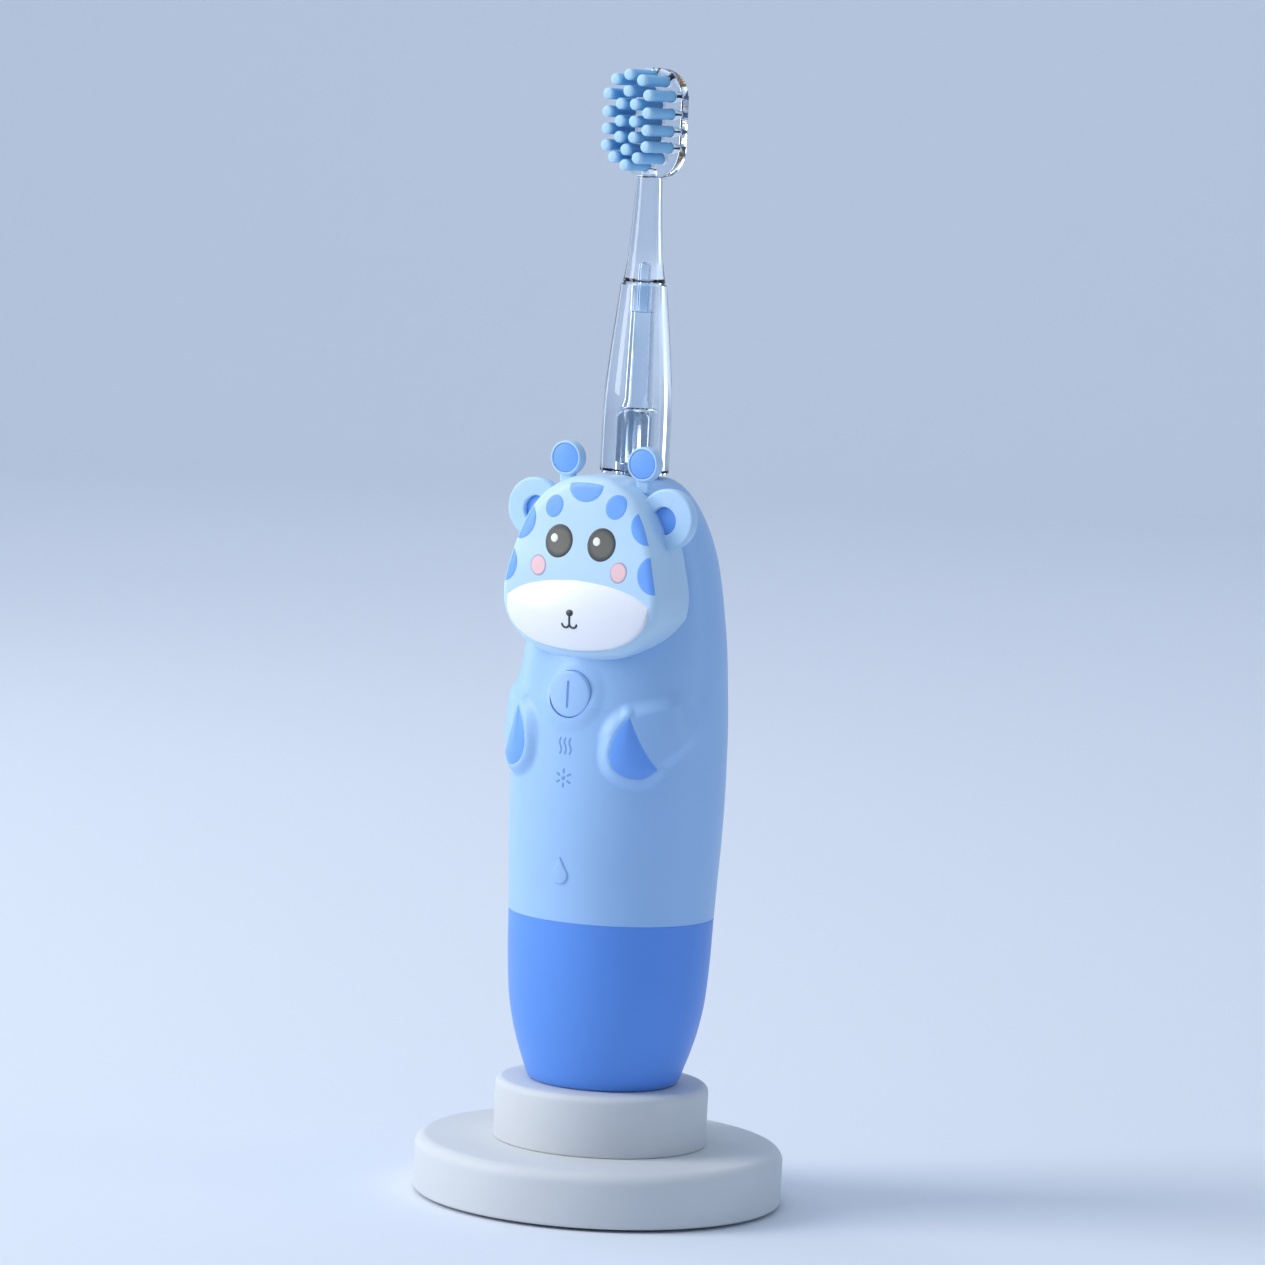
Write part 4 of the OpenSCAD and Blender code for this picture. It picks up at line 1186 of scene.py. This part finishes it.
# The drive shaft: ground stainless steel, turned with a domed tip and then milled flat on one side to
# key the brush head. It runs in the motor's two bearings.
shaft_low, shaft_high = corners("drive_shaft")
shaft_r = shaft_high.x
nose = 1.6
shaft = turned("drive_shaft_rod",
               [(0, shaft_low.z), (shaft_r - 0.3, shaft_low.z), (shaft_r, shaft_low.z + 0.3)]
               + arc(shaft_r - nose, shaft_high.z - nose, nose, 0, 90, 10) + [(0, shaft_high.z)], steps=96)
neck_low, neck_high = corners("brush_neck")
flat_y = -1.75
flat_cutter = rounded_bar("flat_cutter", Vector((-4, -4, neck_low.z + 1.5)),
                          Vector((4, flat_y, shaft_high.z + 1)), 0.3, axis=0)
combine(shaft, flat_cutter)
shaft_steel = drawn_steel("shaft_steel", linear(214, 218, 224), 0.16, (0.1, 0.1, 1))
hand_in(shaft, shaft_steel, "drive", "shaft_steel", "drive_shaft")


# The clear neck: a tapered tube of transparent plastic with a close bore for the shaft and a long
# narrow cavity above it. A rib in the bore lies against the shaft's flat.
clear = Finish("clear_plastic", linear(238, 247, 255), 0.03, Transmission_Weight=1.0, IOR=1.46)
clear.relief(clear.noise(260, 2, (1, 1, 0.3)), 0.01 * MM, 0.2)

# The neck's outline: (share of its widest radius, height above its foot)
NECK_SIDE = [(1, 0), (0.985, 12), (0.87, 21), (0.69, 31), (0.67, 32.6)]
neck_r = neck_high.x
neck_tall = neck_high.z - neck_low.z
neck_top_r = neck_r * NECK_SIDE[-1][0]
foot_round, top_round = 0.4, 0.3
bore_r = shaft_r + 0.05
plug_hole_r = 1.6
cavity_top = neck_high.z - 5.0
neck_outline = [(bore_r + 0.3, neck_low.z), (neck_r - foot_round, neck_low.z)]
neck_outline += [(neck_r * smooth_line(NECK_SIDE, h), neck_low.z + h)
                 for h in steps_between(foot_round, neck_tall - top_round, 24)]
neck_outline += [(neck_top_r - top_round, neck_high.z), (plug_hole_r, neck_high.z),
                 (plug_hole_r, cavity_top + 0.1), (1.5, cavity_top), (1.7, shaft_high.z + 1.6)]
neck_outline += arc(bore_r - 1.0, shaft_high.z - 0.6, 1.0, 60, 0, 5) + [(bore_r, neck_low.z + 0.3)]
brush_neck = turned("brush_neck_tube", neck_outline, steps=96, closed=True)
key_rib = rounded_bar("key_rib", Vector((-1.9, -2.4, neck_low.z + 2)),
                      Vector((1.9, flat_y - 0.06, shaft_high.z)), 0.1, axis=2, steps=2)
combine(brush_neck, key_rib, "UNION", 40)
hand_in(brush_neck, clear.material, "brush_head", "clear_plastic", "brush_neck")


# The clear stem and head plate: one moulding whose plug goes into the neck. Its plate has a round hole
# for each tuft.

# The tufts' rows: (half spacing, height in the head plate). A half spacing of 0 is one tuft in the middle.
TUFT_ROWS = [(0, 17.6), (2.55, 16.7), (0, 14.8), (3.9, 14.2), (1.39, 12.6), (3.9, 11.2), (1.39, 9.7),
             (3.9, 8.3), (1.39, 7.0), (3.9, 5.5), (0, 4.9), (2.3, 3.55), (0, 2.3)]
# The stem's outline: (radius, height above the neck)
STEM_SIDE = [(3.69, 0), (3.14, 3.2), (2.73, 8), (2.36, 14), (2.1, 19), (1.1, 22.5)]
head_tall = 19
stem_high = corners("brush_stem")[1]
head_half = stem_high.x
head_base = stem_high.z - head_tall
tuft_low, tuft_high = corners("tufts")
tuft_r = 1.0
tuft_places = [(side * spacing, head_base + height) for spacing, height in TUFT_ROWS
               for side in ((-1, 1) if spacing else (1,))]
stem_start = neck_high.z
stem_tall = 22.5
plug_r = 1.55
plug_deep = 4.8
core_r = 0.75
stem = turned("brush_stem_and_plate",
              arc(0, stem_start + 2.85, core_r, 90, 0, 5)
              + [(core_r, stem_start - plug_deep), (plug_r, stem_start - plug_deep), (plug_r, stem_start),
                 (3.4, stem_start)]
              + [(smooth_line(STEM_SIDE, h), stem_start + h) for h in steps_between(0.25, stem_tall, 20)]
              + [(0, stem_start + stem_tall + 0.1)],
              steps=72)


def head_plate(name):
    """A slab with wide round corners and softly rounded rims, drawn as a ring of spokes from its middle."""
    corner_r, rim = 5.2, 0.8
    front, back = -0.9, 2.4
    half_tall = head_tall / 2
    spokes = []
    for turn, across, up in ((0, 1, 1), (90, -1, 1), (180, -1, -1), (270, 1, -1)):
        centre = Vector((across * (head_half - corner_r), 0, up * (half_tall - corner_r)))
        for a in steps_between(turn, turn + 90, 12):
            spokes.append((centre, Vector((cos(radians(a)), 0, sin(radians(a))))))
    quarter = [radians(t) for t in steps_between(0, 90, 5)]
    levels = [(front, rim, 0), (front, rim, 0.5)]
    levels += [(front + rim * (1 - cos(t)), rim * (1 - sin(t)), 1) for t in quarter]
    levels += [(back - rim * (1 - cos(t)), rim * (1 - sin(t)), 1) for t in quarter[::-1]]
    levels += [(back, rim, 0.5), (back, rim, 0)]

    def plate_place(index, level):
        y, inwards, share = level
        centre, out = spokes[index % len(spokes)]
        point = (centre + out * (corner_r - inwards)) * share
        return Vector((point.x, y, head_base + half_tall + point.z))

    return skin(name, list(range(len(spokes) + 1)), levels, plate_place, 40)


combine(stem, head_plate("head_slab"), "UNION", 40)
hole_r = tuft_r + 0.06
hole_deep = tuft_high.y + 2
hole_outline = [(0, 0), (hole_r, 0), (hole_r, hole_deep), (0, hole_deep)]
holes = [facing_front(turned("tuft_hole", hole_outline, steps=28), x, tuft_high.y + 0.03, z)
         for x, z in tuft_places]
combine(stem, joined("tuft_holes", holes))
hand_in(stem, clear.material, "brush_head", "clear_plastic", "brush_stem")


# The tufts: 22 round bundles of soft blue filament, stapled into the holes of the head plate, with
# trimmed pale tips.
tuft_length = tuft_high.y - tuft_low.y
root_r = tuft_r * 0.94
tip_round = 0.45
tuft_outline = [(0, 0), (root_r, 0), (root_r, 2), (tuft_r, tuft_length - 0.75)]
tuft_outline += arc(tuft_r - tip_round, tuft_length - tip_round, tip_round, 0, 80, 6) + [(0, tuft_length)]
tufts = [facing_front(turned("tuft", tuft_outline, steps=28, smooth_angle=50), x, tuft_high.y, z)
         for x, z in tuft_places]
bristle = Finish("bristle_blue", linear(116, 184, 240), 0.4, Subsurface_Weight=0.15, Subsurface_Scale=0.002)
tip = 1 - bristle.axis("Y").over((tuft_low.y + 0.25) * MM, (tuft_low.y + 1.1) * MM)
filaments = bristle.noise(2600, 1, (1, 0.02, 1))
shaded = bristle.mix(filaments, linear(116, 186, 236), linear(156, 214, 248))
bristle.set("Base Color", bristle.mix(tip, shaded, linear(180, 222, 248)))
bristle.set("Roughness", filaments * 0.2 + 0.3)
bristle.relief(filaments, 0.02 * MM, 0.6)
hand_in(joined("tuft_bundles", tufts), bristle.material, "brush_head", "bristle_blue", "tufts")
